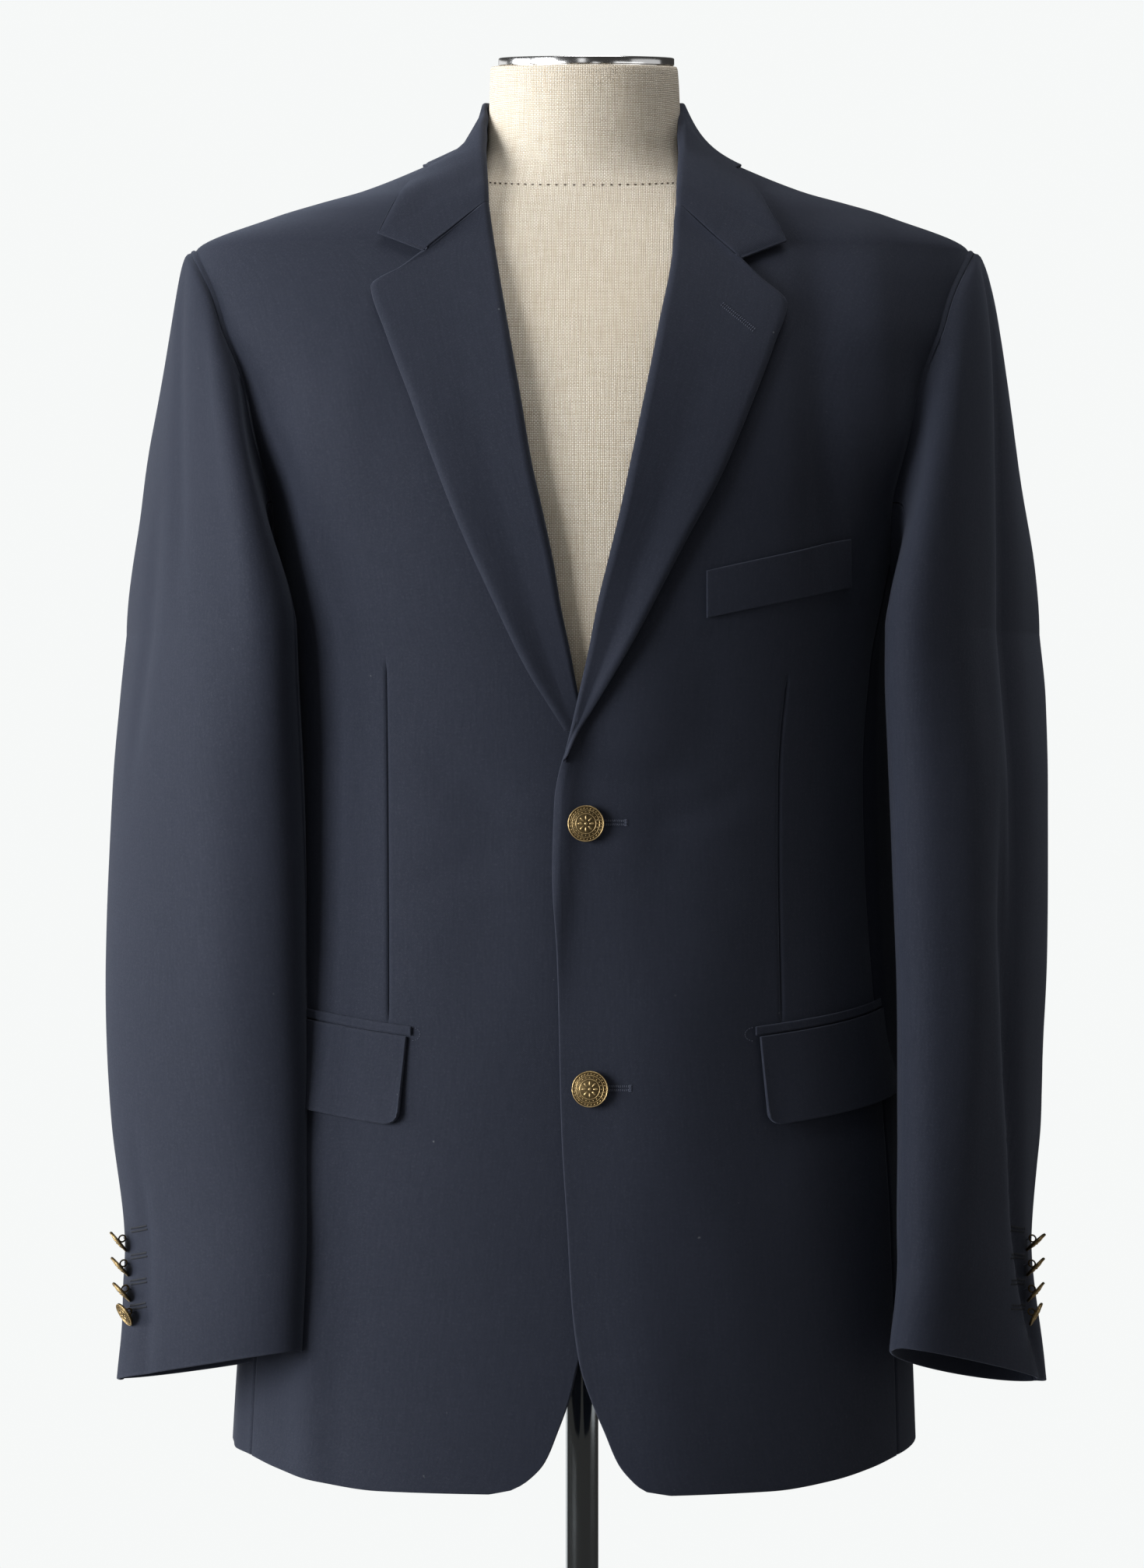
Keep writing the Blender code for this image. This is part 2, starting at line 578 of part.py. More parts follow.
def make_lapel(side, cloth):
    """The lapel turned back over its front: a short tuck, the roll, and the spread out to the edge."""
    name = side_name(side)
    lattice = []
    for level in LAPEL_LEVELS:
        crease = Vector((read(ROLL_LINES, name, level), level))
        edge_z = read(LAPEL_ROWS, name + "_z", level) - GORGE_GAP
        edge = Vector((read(LAPEL_ROWS, name + "_x", level), edge_z))
        reach = (edge - crease).length
        along = (edge - crease) / reach
        radius = min(roll_radius(level), reach / 4)
        middle, low = radius + CLOTH / 2, radius - CLOTH / 2
        profile = [(LAPEL_TUCK, -CLOTH / 2)]
        profile += [(middle - radius * math.cos(turn), low + radius * math.sin(turn)) for turn in FOLD_TURNS]
        crest = low + radius
        profile += [(mix(middle, reach, share), mix(crest, LAPEL_HEIGHT, share)) for share in SPREAD_STEPS]
        places = [(crease + along * distance, height) for distance, height in profile]
        lattice.append([front_point(side, place.x, place.y, height) for place, height in places])
    wall("lapel_" + name, *thickened(lattice, CLOTH), cloth)


def resting(point, height):
    """The point, moved out level with itself where it is nearer to the body's outside than a height."""
    if point.z > NECK_POINT:
        return point
    half_width, power = read(BODY, "half_width", point.z), read(BODY, "power", point.z)
    depth = read(BODY, "front" if point.y < 0 else "back", point.z)
    sine = (abs(point.x) / half_width) ** (power / 2)
    cosine = (abs(point.y) / depth) ** (power / 2)
    angle = math.atan2(math.copysign(sine, point.x), math.copysign(cosine, -point.y))
    lying = body_point(point.z, angle, height)
    return lying if lying.xy.length > point.xy.length else point


def collar_profile(crease, outward, edge, foot, radius, sag):
    """The collar's section: up the stand, over the crease and down the fall."""
    spread = (edge - crease).normalized()
    outward = (outward - spread * outward.dot(spread)).normalized()
    folded = fold(crease, outward, spread, radius)
    points = [foot, mix(foot, folded[0], 0.5)] + folded
    for share in SPREAD_STEPS:
        lifted = mix(folded[-1], edge, share) - outward * sag * math.sin(math.pi * share)
        points.append(resting(lifted, COLLAR_HEIGHT))
    return points


def collar_front_profile(side, row):
    rise = RIGHT_COLLAR_RISE if side == RIGHT else 0.0
    low = ROLL_RADIUS_HIGH - CLOTH / 2
    crease = front_point(side, side * row.crease_x, row.crease_z + rise / 2, low)
    edge = front_point(side, side * row.edge_x, row.edge_z + rise, COLLAR_HEIGHT)
    outward = crease - front_point(side, side * row.crease_x, row.crease_z + rise / 2, 0.0)
    spread = (edge - crease).normalized()
    foot = crease - outward.normalized() * ROLL_RADIUS_HIGH + spread * SEAM
    return collar_profile(crease, outward, edge, foot, ROLL_RADIUS_HIGH, FRONT_SAG)


def collar_neck_profile(side, degrees):
    turn = side * math.radians(read(COLLAR_ROWS, "crease_degrees", degrees))
    outward = Vector((math.sin(turn), -math.cos(turn), 0.0))
    crease = outward * read(COLLAR_ROWS, "crease_radius", degrees)
    crease.z = read(COLLAR_ROWS, "crease_z", degrees)
    edge = body_point(read(COLLAR_ROWS, "edge_z", degrees), side * math.radians(degrees), COLLAR_HEIGHT)
    foot_angle = math.radians(read(COLLAR_ROWS, "foot_degrees", degrees))
    neckline = row_height(NECK_POINT, foot_angle)
    foot = body_point(neckline, side * foot_angle, -CLOTH / 2) + Vector((0, 0, STAND_GAP))
    tightness = eased(degrees, COLLAR_ROWS[0].edge_degrees, NECK_ROLL_DEGREES)
    radius = mix(ROLL_RADIUS_HIGH, NECK_ROLL_RADIUS, tightness)
    return collar_profile(crease, outward, edge, foot, radius, read(COLLAR_ROWS, "sag", degrees))


def make_collar(cloth):
    """One piece, from the left gorge round the neck to the right gorge."""
    lattice = [collar_front_profile(LEFT, row) for row in COLLAR_FRONT]
    lattice += [collar_neck_profile(LEFT, degrees) for degrees in COLLAR_DEGREES]
    lattice += [collar_neck_profile(RIGHT, degrees) for degrees in reversed(COLLAR_DEGREES[:-1])]
    lattice += [collar_front_profile(RIGHT, row) for row in reversed(COLLAR_FRONT)]
    wall("collar", *thickened(lattice, CLOTH), cloth)


def tube_point(side, z, turn):
    """A point of a sleeve's level section: turn 0 is its outer hind edge, 90 degrees its outer face."""
    name = side_name(side)
    heading = math.radians(read(SLEEVE_ROWS, name + "_turn", z))
    major, minor = read(SLEEVE_ROWS, "major", z), read(SLEEVE_ROWS, "minor", z)
    along, across = major * math.cos(turn), minor * math.sin(turn)
    x = read(SLEEVE_ROWS, name + "_x", z) + along * math.cos(heading) + across * math.sin(heading)
    y = read(SLEEVE_ROWS, "y", z) + along * math.sin(heading) - across * math.cos(heading)
    return Vector((side * x, y, z))


def sleeve_point(side, step, turn):
    """A point of a sleeve: step 0 to 1 runs from the armhole to the tube's top, 1 to 2 down to the cuff."""
    if step > 1:
        cuff = CUFF_Z - CUFF_DROP * math.cos(turn)
        return tube_point(side, mix(SLEEVE_TUBE_TOP, cuff, step - 1), turn)
    z, angle = armhole_point(turn)
    seam = section_point(BODY, z, side * angle) + Vector((side * HEAD_GAP, 0, 0))
    tube = tube_point(side, SLEEVE_TUBE_TOP, turn)
    leaving = seam + Vector((side * HEAD_OUT[side], HEAD_BULGE * math.cos(turn), 0))
    arriving = tube + Vector((0, 0, HEAD_RISE * (seam.z - tube.z)))
    rest = 1 - step
    hull = (rest**3 * seam, 3 * rest * rest * step * leaving, 3 * rest * step * step * arriving)
    return hull[0] + hull[1] + hull[2] + step**3 * tube


def sleeve_wall_point(side, step, turn, height):
    d = 0.004
    here = sleeve_point(side, step, turn)
    along = sleeve_point(side, min(step + d, 2), turn) - sleeve_point(side, max(step - d, 0), turn)
    around = sleeve_point(side, step, turn + d) - sleeve_point(side, step, turn - d)
    return here + around.cross(along).normalized() * height * -side


def top_sleeve_turns():
    """From the hind seam over the armhole's top to the fore seam, in step with the armhole's own rows."""
    levels = ARMHOLE_LEVELS + (SHOULDER_TIP,)
    behind = [armhole_turn(level, 1) for level in levels if level >= HIND_LEVEL]
    return behind + [armhole_turn(level, -1) for level in reversed(levels[:-1]) if level >= FORE_LEVEL]


def under_sleeve_turns():
    """From the fore seam under the arm to the hind seam."""
    before = [armhole_turn(level, -1) for level in ARMHOLE_LEVELS if level <= FORE_LEVEL]
    after = [armhole_turn(level, 1) + 2 * math.pi for level in ARMHOLE_LEVELS if level <= HIND_LEVEL]
    return before[::-1] + underarm_turns() + after


def make_sleeve(side, name, turns, cloth):
    """Half of a sleeve's tube, between the turns of its two seams."""
    steps = list(HEAD_STEPS)
    depth = SLEEVE_TUBE_TOP - CUFF_Z
    steps += [1 + (SLEEVE_TUBE_TOP - level) / depth for level in SLEEVE_LEVELS] + [2.0]
    gap = SEAM / read(SLEEVE_ROWS, "minor", SLEEVE_TUBE_TOP)
    turns = [turns[0] + gap] + turns[1:-1] + [turns[-1] - gap]
    outer = [[sleeve_wall_point(side, step, turn, 0.0) for turn in turns] for step in steps]
    inner = [[sleeve_wall_point(side, step, turn, -CLOTH) for turn in turns] for step in steps]
    wall(name + side_name(side), outer, inner, cloth)


def patch(name, places, thickness, material):
    """A piece lying on a front, over the front's own points."""
    outer = [[body_point(z, angle, ON_PANEL + thickness) for z, angle in row] for row in places]
    inner = [[body_point(z, angle, ON_PANEL) for z, angle in row] for row in places]
    wall(name, outer, inner, material)


def make_welt(cloth, rows=2, columns=6):
    """The breast pocket's welt, higher towards the arm."""
    places = []
    for r in range(rows + 1):
        row = []
        for c in range(columns + 1):
            x = mix(WELT_INNER_X, WELT_OUTER_X, c / columns)
            inner_z = mix(*WELT_INNER_Z, r / rows)
            z = mix(inner_z, mix(*WELT_OUTER_Z, r / rows), c / columns)
            row.append((z, angle_at_x(z, x)))
        places.append(row)
    patch("breast_welt", places, WELT_WALL, cloth)


def pocket_angle(side, share, x, z):
    return mix(angle_at_x(z, side * x), side * FLAP_END, share)


def make_pocket(side, cloth, columns=10, crowding=1.6):
    """A flap with a rounded lower front corner, and the jet above it."""
    name = side_name(side)
    shares = [(c / columns) ** crowding for c in range(columns + 1)]
    flap, jet = [], []
    for level in (1.0, 0.75, 0.5, 0.25, 0.0):
        row = []
        for share in shares:
            before_corner = FLAP_CORNER - min(share * FLAP_LENGTH, FLAP_CORNER)
            lift = FLAP_CORNER - math.sqrt(FLAP_CORNER**2 - before_corner**2)
            top = FLAP_TOP_Z + FLAP_RISE * share
            z = mix(top, top - FLAP_DEPTH + lift, level)
            row.append((z, pocket_angle(side, share, mix(FLAP_TOP_X, FLAP_FOOT_X, level), z)))
        flap.append(row)
    for level in (JET_GAP, JET_GAP + JET_HEIGHT):
        row = []
        for share in shares:
            z = FLAP_TOP_Z + FLAP_RISE * share + level
            row.append((z, pocket_angle(side, share, FLAP_TOP_X - JET_OVERHANG, z)))
        jet.append(row)
    patch("flap_" + name, flap, FLAP_WALL, cloth)
    patch("jet_" + name, jet, JET_WALL, cloth)


def turned(name, profile, segments, material, place=Vector((0, 0, 0)), facing=Vector((0, 0, 1))):
    """A turned solid from (radius, height) points, its axis at a place and along a direction."""
    spin = facing.to_track_quat("Z", "Y")
    rings = []
    for radius, height in profile:
        ring = []
        for k in range(segments):
            angle = 2 * math.pi * k / segments
            local = Vector((radius * math.cos(angle), radius * math.sin(angle), height))
            ring.append(place + spin @ local)
        rings.append(ring)
    return loft(name, rings, material)


def make_button(name, place, facing, radius, shank_length, segments, metal):
    """A slightly domed disc on a shank. The place is the middle of the disc's back."""
    shank, thick = radius * 0.22, radius * 0.28
    profile = [
        (shank, -shank_length),
        (shank, 0.0),
        (radius * 0.90, thick * 0.15),
        (radius, thick * 0.55),
        (radius * 0.92, thick * 0.90),
        (radius * 0.45, thick * 1.20),
    ]
    turned(name, profile, segments, metal, place, facing)


def make_front_buttons(metal):
    for name, (x, z) in FRONT_BUTTONS.items():
        foot, back = front_point(LEFT, x, z, ON_PANEL), front_point(LEFT, x, z, ON_PANEL + FRONT_SHANK)
        make_button(name, back, (back - foot).normalized(), FRONT_BUTTON_RADIUS, FRONT_SHANK, 16, metal)


def make_cuff_buttons(side, metal):
    """The buttons down the hind edge of a cuff, each hanging with its face turned outwards and down."""
    name = side_name(side)
    for number, button in enumerate(CUFF_BUTTONS):
        turn = math.radians(getattr(button, name + "_degrees"))
        on_sleeve = tube_point(side, button.z, turn)
        around = tube_point(side, button.z, turn + 0.02) - tube_point(side, button.z, turn - 0.02)
        outward = Vector((-around.y, around.x, 0)).normalized() * -side
        sideways = mix(outward, Vector((side, 0, 0)), 0.5).normalized()
        facing = sideways * math.cos(CUFF_BUTTON_DROOP) - Vector((0, 0, math.sin(CUFF_BUTTON_DROOP)))
        place = on_sleeve + outward * CUFF_BUTTON_OUT
        label = "button_cuff_%s_%d" % (name, number + 1)
        make_button(label, place, facing, CUFF_BUTTON_RADIUS, CUFF_SHANK, 10, metal)


def form_ring(z):
    """A level ring of the form, tilted forward at the neck."""
    tilt = NECK_TILT * eased(z, NECK_TILT_FROM, FORM[-1].z)
    ring = []
    for k in range(FORM_SEGMENTS):
        point = section_point(FORM, z, 2 * math.pi * k / FORM_SEGMENTS)
        ring.append(point + Vector((0, 0, tilt * point.y)))
    return ring


def make_form(linen, steel, chrome):
    loft("form_torso", [form_ring(row.z) for row in FORM], linen)
    tilted_up = Vector((0, -NECK_TILT, 1)).normalized()
    cap_foot = Vector((0, 0, FORM[-1].z)) + tilted_up * SEAM
    cap = [
        (CAP_RADIUS, 0.0),
        (CAP_RADIUS, CAP_THICK - CAP_EDGE),
        (CAP_RADIUS - CAP_EDGE, CAP_THICK),
    ]
    turned("form_neck_cap", cap, TURNED_SEGMENTS, chrome, cap_foot, tilted_up)
    pole = [(POLE_RADIUS, HUB_TOP + SEAM), (POLE_RADIUS, FORM[0].z - SEAM)]
    turned("form_pole", pole, 24, steel)
    base = [
        (BASE_RADIUS, 0.0),
        (BASE_RADIUS, BASE_THICK - 0.002),
        (BASE_RADIUS - 0.002, BASE_THICK),
        (HUB_RADIUS + 0.004, BASE_THICK + 0.002),
        (HUB_RADIUS, BASE_THICK + 0.006),
        (HUB_RADIUS, HUB_TOP - 0.002),
        (HUB_RADIUS - 0.002, HUB_TOP),
    ]
    turned("form_base", base, TURNED_SEGMENTS, steel)


def main():
    clear_scene()
    cloth = finish("navy_wool", (0.022, 0.028, 0.045), 0.9)
    linen = finish("linen", (0.56, 0.48, 0.37), 0.95)
    brass = finish("antique_brass", (0.30, 0.21, 0.09), 0.38, 1.0)
    steel = finish("dark_steel", (0.05, 0.05, 0.055), 0.3, 1.0)
    chrome = finish("chrome", (0.75, 0.75, 0.77), 0.12, 1.0)
    for side in (LEFT, RIGHT):
        make_front(side, cloth)
        make_side(side, cloth)
        make_back(side, cloth)
        make_lapel(side, cloth)
        make_sleeve(side, "sleeve_top_", top_sleeve_turns(), cloth)
        make_sleeve(side, "sleeve_under_", under_sleeve_turns(), cloth)
        make_pocket(side, cloth)
        make_cuff_buttons(side, brass)
    make_collar(cloth)
    make_welt(cloth)
    make_front_buttons(brass)
    make_form(linen, steel, chrome)


main()
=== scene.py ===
"""How a two-button blazer on a linen dress form looks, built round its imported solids.

Metres, +Z up. The garment's front faces -Y and the wearer's left is at +X. The cloth is drafted from the same
level sections and short charts as the solids, on a far finer grid, and then gets its folds, darts, edges and
weave.
"""

import math
from collections import namedtuple

import bmesh
import bpy
import numpy as np
from mathutils import Matrix, Vector


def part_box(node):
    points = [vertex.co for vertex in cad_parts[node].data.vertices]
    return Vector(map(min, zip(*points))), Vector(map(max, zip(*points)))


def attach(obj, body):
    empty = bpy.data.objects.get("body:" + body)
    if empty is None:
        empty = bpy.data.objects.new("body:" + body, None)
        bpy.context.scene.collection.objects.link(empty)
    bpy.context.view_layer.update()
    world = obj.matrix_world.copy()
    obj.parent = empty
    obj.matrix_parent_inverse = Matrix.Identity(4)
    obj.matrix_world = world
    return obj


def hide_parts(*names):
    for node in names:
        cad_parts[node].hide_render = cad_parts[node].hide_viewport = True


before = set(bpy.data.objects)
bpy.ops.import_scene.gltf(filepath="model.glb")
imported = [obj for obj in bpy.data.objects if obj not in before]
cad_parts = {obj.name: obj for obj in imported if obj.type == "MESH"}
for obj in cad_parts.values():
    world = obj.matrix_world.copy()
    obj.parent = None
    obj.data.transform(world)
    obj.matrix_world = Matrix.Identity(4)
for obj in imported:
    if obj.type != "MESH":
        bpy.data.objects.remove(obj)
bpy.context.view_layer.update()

LEFT, RIGHT = 1, -1
CLOTH = 0.0018  # thickness of the wool
WALL = 0.0020  # of the solids, whose outer face is the garment's outer face
SEAM = 0.00005  # each edge keeps this from the seam line
GRID = 0.0036  # usual spacing of the cloth's grid
FINE_GRID = 0.0020  # on the small pieces
SLEEVE_GRID, LAPEL_GRID = GRID * 1.3, FINE_GRID * 1.2
PLAIN_FIELDS = ("power", "along", "degrees", "turn", "droop", "facing")  # fields that aren't lengths


def chart(fields, *rows):
    """Rows with named fields. Lengths are written in millimetres and kept in metres."""
    kind = namedtuple("Row", fields)
    units = [1 if field.endswith(PLAIN_FIELDS) else 1000 for field in kind._fields]
    return tuple(kind(*(value / unit for value, unit in zip(row, units))) for row in rows)


# ---------------------------------------------------------------- the garment's level sections
SECTION = "z half_width front back power shift"
BODY = chart(
    SECTION,
    (685, 205, 134, 126, 2.3, -5), (760, 201.5, 134, 125, 2.3, -4), (850, 195, 132, 119, 2.3, -2),
    (950, 184, 130, 107, 2.2, 0), (1050, 175, 129, 98, 2.2, 0), (1110, 173, 130, 98, 2.2, 0),
    (1170, 177, 134, 106, 2.2, 0), (1210, 184.5, 138, 113, 2.2, 0), (1265, 197, 140, 119, 2.2, 0),
    (1303, 213, 136, 121, 2.2, 0), (1340, 224, 126, 120, 2.2, 0), (1371, 234, 113, 114, 2.2, 0),
    (1396, 235, 99, 104, 2.2, 0), (1417, 231, 86, 94, 2.2, 0), (1437, 185, 77, 85, 2.2, 0),
    (1445, 158.5, 73, 81, 2.2, 0), (1452, 133.5, 68, 77, 2.2, 0), (1466, 98.5, 60, 69, 2.1, 0),
    (1482, 64, 53, 62, 2, 0),
)
ARMHOLE_FOOT, SHOULDER_TIP, NECK_POINT = 1.232, 1.417, 1.478
BELOW_TIP, ABOVE_TIP = SHOULDER_TIP - 0.0006, SHOULDER_TIP + 0.0004  # rows on both sides of the corner there
HEM_LINE = chart(
    "degrees z",
    (0, 694), (30, 694), (44, 697.5), (56, 702.5), (67, 707), (88, 711), (125, 706), (155, 710), (180, 713.2),
)
HEM, HEM_FADE = HEM_LINE[0].z, 0.850
BACK_NECK_DROP, BACK_NECK_FADE = 0.010, 1.437
ARMHOLE_Z, ARMHOLE_HALF_HEIGHT, ARMHOLE_HALF_DEPTH = 1.311, 0.106, 0.066
FRONT_SEAM_AT_HEM, BACK_SEAM_AT_HEM = math.radians(67), math.radians(117)

# ---------------------------------------------------------------- front edges, roll lines and lapels
EDGE = "z left right"
FRONT_EDGES = chart(
    EDGE,
    (694, 50, -54), (696.5, 36, -41), (703.5, 27, -29.5), (712.5, 20, -21.5), (730, 12.5, -14),
    (748, 5, -7.5), (770, -2, -2), (800, -6, 6), (850, -9, 15), (900, -12, 20.5), (1000, -14.5, 21.5),
    (1047, -17, 21.5), (1090, -15.8, 20.8), (1130, -7.5, 15),
)
ROLL_LINES = chart(
    EDGE,
    (1110, -11.8, 9), (1137, -5.5, 1), (1156, -1.3, -3.3), (1175, 3, -6.8), (1201, 8, -12.2),
    (1228, 14.5, -16.7), (1255, 21, -22.4), (1283, 27, -28.7), (1323, 35.5, -35.5), (1365, 44, -43),
    (1407, 52, -50), (1438, 54, -54.5), (1480, 60, -60),
)
TURN_START, TURN_FULL = 1.112, 1.142  # over this height the front's edge turns over into the lapel
EDGE_BEHIND_ROLL, LAPEL_BEHIND_ROLL = 0.0034, 0.0018  # past the roll's own radius, under the lapel

LAPEL_ROWS = chart(
    "crease_z left_x left_z right_x right_z",
    (1112, -10.4, 1112.2, -1.2, 1112), (1130, -3, 1130, -9.7, 1130), (1142, 4.5, 1142, -16.9, 1142),
    (1165, 18, 1165, -30.7, 1165), (1200, 38.5, 1202, -46.6, 1198), (1250, 60, 1243, -65.9, 1240),
    (1300, 78.5, 1277, -82.6, 1281), (1350, 96.5, 1318.5, -99.5, 1325), (1390, 109.8, 1352.5, -112.8, 1359.5),
    (1414, 117.5, 1376.5, -121.7, 1386.5), (1427, 104.5, 1389, -106.5, 1396),
    (1438.5, 91.3, 1401.5, -92, 1406.8),
)
LAPEL_FOOT = {LEFT: 1.1125, RIGHT: 1.130}
# How a lapel lies, by the height of its roll line: the roll's radius, how far its middle and its outer edge
# stand off the front, and how much of that the edge loses again as it rounds down.
LAPEL_LIES = chart(
    "z radius middle edge drop",
    (1112, 0.8, 1.6, 1.6, 0), (1140, 1.4, 2.4, 4, 0.8), (1180, 2.2, 2.6, 6.8, 1.6), (1260, 3.4, 2.4, 6.6, 2),
    (1340, 3.6, 2.2, 5, 1.8), (1410, 3, 2.2, 3.8, 1.2), (1438.5, 2.8, 2.2, 3, 0.8),
)
EDGE_ROUNDING = 0.0045  # width of the rounded outer edge
GORGE_BLEND_FROM = 1.4240
COLLAR_HEIGHT = 0.0030

LAP_HEIGHTS = chart("z height", (685, 2.8), (1098, 2.8), (1120, 6), (1150, 6), (1230, 0), (1482, 0))
LAP_FULL_X, LAP_END_X = 0.024, 0.080
VENT_TOP, VENT_WIDTH, VENT_HEIGHT, VENT_FADE = 0.950, 0.036, 0.0028, 0.050
VENT_SPREAD = (math.radians(145), math.radians(170))  # the left back rises to its lap between these
SEAM_FADE = 0.010  # the centre seam's dip ends at the vent over this much above and below its top

# ---------------------------------------------------------------- collar
COLLAR_ROWS = chart(
    "edge_degrees edge_z crease_degrees crease_radius crease_z foot_degrees sag",
    (57, 1462.8, 63, 66.8, 1483.5, 60, 2), (72, 1466.2, 79, 61, 1496.5, 75, 5),
    (92, 1467.8, 96, 60.2, 1505.8, 96, 5.5), (122, 1464, 122, 60, 1507.8, 122, 5),
    (152, 1459, 152, 60, 1505.5, 152, 2.6), (180, 1457, 180, 60, 1503.5, 180, 1),
)
ROLL_RADIUS, NECK_ROLL_RADIUS, NECK_ROLL_DEGREES = 0.0028, 0.0010, 80
COLLAR_FRONT = chart(
    "along crease_x crease_z edge_x edge_z",
    (0, 57.2, 1434, 91.3, 1401.8), (1, 58, 1445, 118.5, 1413.5), (2, 58.8, 1457, 107.5, 1436.2),
    (3, 59.5, 1469, 98.5, 1453.5),
)
RIGHT_COLLAR_RISE = 0.0050
RIGHT_COLLAR_SNUG = 0.0020  # the right side of the collar hugs the neck by this much more
FRONT_SAG = -0.0010
STAND_GAP = 0.0014
NECK_COLLAR_HEIGHT = 0.0007  # of the fall's edge over the shoulders and the back
NECK_COLLAR_START = 0.0004  # the edge starts this much higher at the neck's front
COLLAR_TUCK = 0.0040  # how far in front of the crease the stand's hidden foot lies, at the front
COLLAR_LIFT = 0.0016  # how much the fall's front end lifts towards its edge

# ---------------------------------------------------------------- sleeves
SLEEVE_ROWS = chart(
    "z y major minor right_x right_turn left_x left_turn",
    (740, -69, 64, 25, 220.8, 32, 226.6, 47.6), (757, -68, 64, 25, 219.8, 33.2, 225.2, 48.2),
    (830, -61, 66, 27, 215.3, 39.9, 223.3, 61.5), (900, -51, 70, 30, 219.8, 38.5, 226.7, 62.1),
    (1000, -38, 77, 33, 223.4, 44.8, 230.1, 62.3), (1100, -25, 84, 35, 223.4, 53.8, 229.4, 63.4),
    (1150, -20, 90, 33, 222.8, 58.7, 228.3, 63.3), (1190, -17, 94, 31, 221.6, 61.5, 226.7, 65),
)
SLEEVE_TUBE_TOP = 1.190
CUFF_Z, CUFF_DROP = 0.761, {LEFT: 0.0150, RIGHT: 0.0122}
CUFF_HANG = {LEFT: 0.0045, RIGHT: 0.0028}  # the under sleeve hangs this much lower behind
HEAD_OUT = {LEFT: 0.018, RIGHT: 0.012}
HEAD_BULGE, HEAD_RISE = 0.012, 0.40
HIND_LEVEL, FORE_LEVEL = 1.303, 1.265
HEAD_GAP = 0.0010
TUCK, TUCK_DEPTH = 0.0036, 0.0034  # the sleeve's seam allowance, under the body's edge
SLEEVE_SEAM_RADIUS = 0.05  # of the sleeve's tube near its seams

# ---------------------------------------------------------------- pockets and buttons
WELT_INNER_X, WELT_OUTER_X = 0.0705, 0.1560
WELT_INNER_Z, WELT_OUTER_Z = (1.1950, 1.2220), (1.2140, 1.2420)
FLAP_TOP_X, FLAP_FOOT_X, FLAP_TOP_Z = 0.1005, 0.1042, 0.9548
FLAP_LENGTH, FLAP_DEPTH, FLAP_RISE, FLAP_CORNER = 0.150, 0.0515, 0.021, 0.008
FLAP_END = math.radians(97)
JET_GAP, JET_HEIGHT, JET_OVERHANG = 0.0006, 0.0052, 0.0025
FLAP_WALL, JET_WALL, WELT_WALL = 0.0020, 0.0014, 0.0018
FLAP_HANG, FLAP_END_HANG = 0.0016, 0.0010  # how far a flap's lower edge hangs off, and more at its front end
ON_PANEL = 0.0005

FRONT_HOLE_RISE, FRONT_HOLE_PAST = 0.0004, 0.0118  # above the button's middle, and past its edge
LAPEL_HOLE = ((0.0805, 1.3760), (0.0985, 1.3610))
TACK_X, TACK_Z = FLAP_TOP_X - 0.0022, FLAP_TOP_Z + 0.0015
TACK_WIDTH, TACK_HEIGHT = 0.0050, 0.0038
FRONT_BUTTONS = {"front_top": (0.0019, 1.0775), "front_bottom": (0.0045, 0.9260)}
FRONT_BUTTON_RADIUS, CUFF_BUTTON_RADIUS = 0.0105, 0.0076
CUFF_BUTTONS = chart(
    "z left_degrees right_degrees left_droop right_droop right_facing",
    (831, 59, 37, 49, 40, 0.5), (816.8, 61, 40, 45, 43, 0.5), (802.6, 63, 45, 41, 43, 0.5),
    (790, 65, 51, 28, 30, 0.2),
)
CUFF_HOLES = (0.8375, 0.8218, 0.8070, 0.7928)
CUFF_HOLE_SLOPE = 0.0026
CUFF_HOLE_X = {LEFT: (0.2600, 0.2500), RIGHT: (-0.2650, -0.2555)}
CUFF_BUTTON_OUT, FRONT_BUTTON_OUT = 0.0068, 0.0022

# ---------------------------------------------------------------- dress form and stand
FORM = chart(
    SECTION,
    (800, 150, 100, 92, 2.2, 0), (815, 158, 108, 98, 2.2, 0), (900, 160, 114, 98, 2.2, 0),
    (1000, 148, 114, 88, 2.2, 0), (1070, 142, 117, 82, 2.2, 0), (1150, 150, 126, 90, 2.2, 0),
    (1210, 160, 132.5, 100, 2.2, 0), (1265, 168, 134.5, 106, 2.2, 0), (1303, 174, 130.5, 108, 2.2, 0),
    (1340, 182, 121, 107, 2.2, 0), (1371, 193, 109.5, 102, 2.2, 0), (1396, 195, 96.8, 93, 2.2, 0),
    (1412, 185, 88, 85, 2.2, 0), (1430, 152, 77.8, 76, 2.2, 0), (1442, 113, 71.2, 68, 2.15, 0.6),
    (1452, 86, 65.5, 63, 2.1, 1), (1462, 69, 60.8, 59.5, 2, 1.4), (1476, 59.2, 58.2, 58, 2, 1.5),
    (1500, 57.2, 57.2, 57.2, 2, 1.5), (1516, 56.5, 56.6, 56.6, 2, 1.5), (1528.2, 55.9, 55.9, 55.9, 2, 1.2),
)
NECK_TILT, NECK_TILT_FROM = math.tan(math.radians(6.5)), 1.476
CAP_RADIUS, CAP_THICK, CAP_STAND, CAP_SHIFT = 0.0525, 0.0042, 0.0010, 0.0026
NECK_SEAM_SIDE_Z, NECK_SEAM_DIP = 1.4640, 0.0140
NECK_SEAM_DEPTH, NECK_SEAM_WIDTH = 0.0008, 0.0018

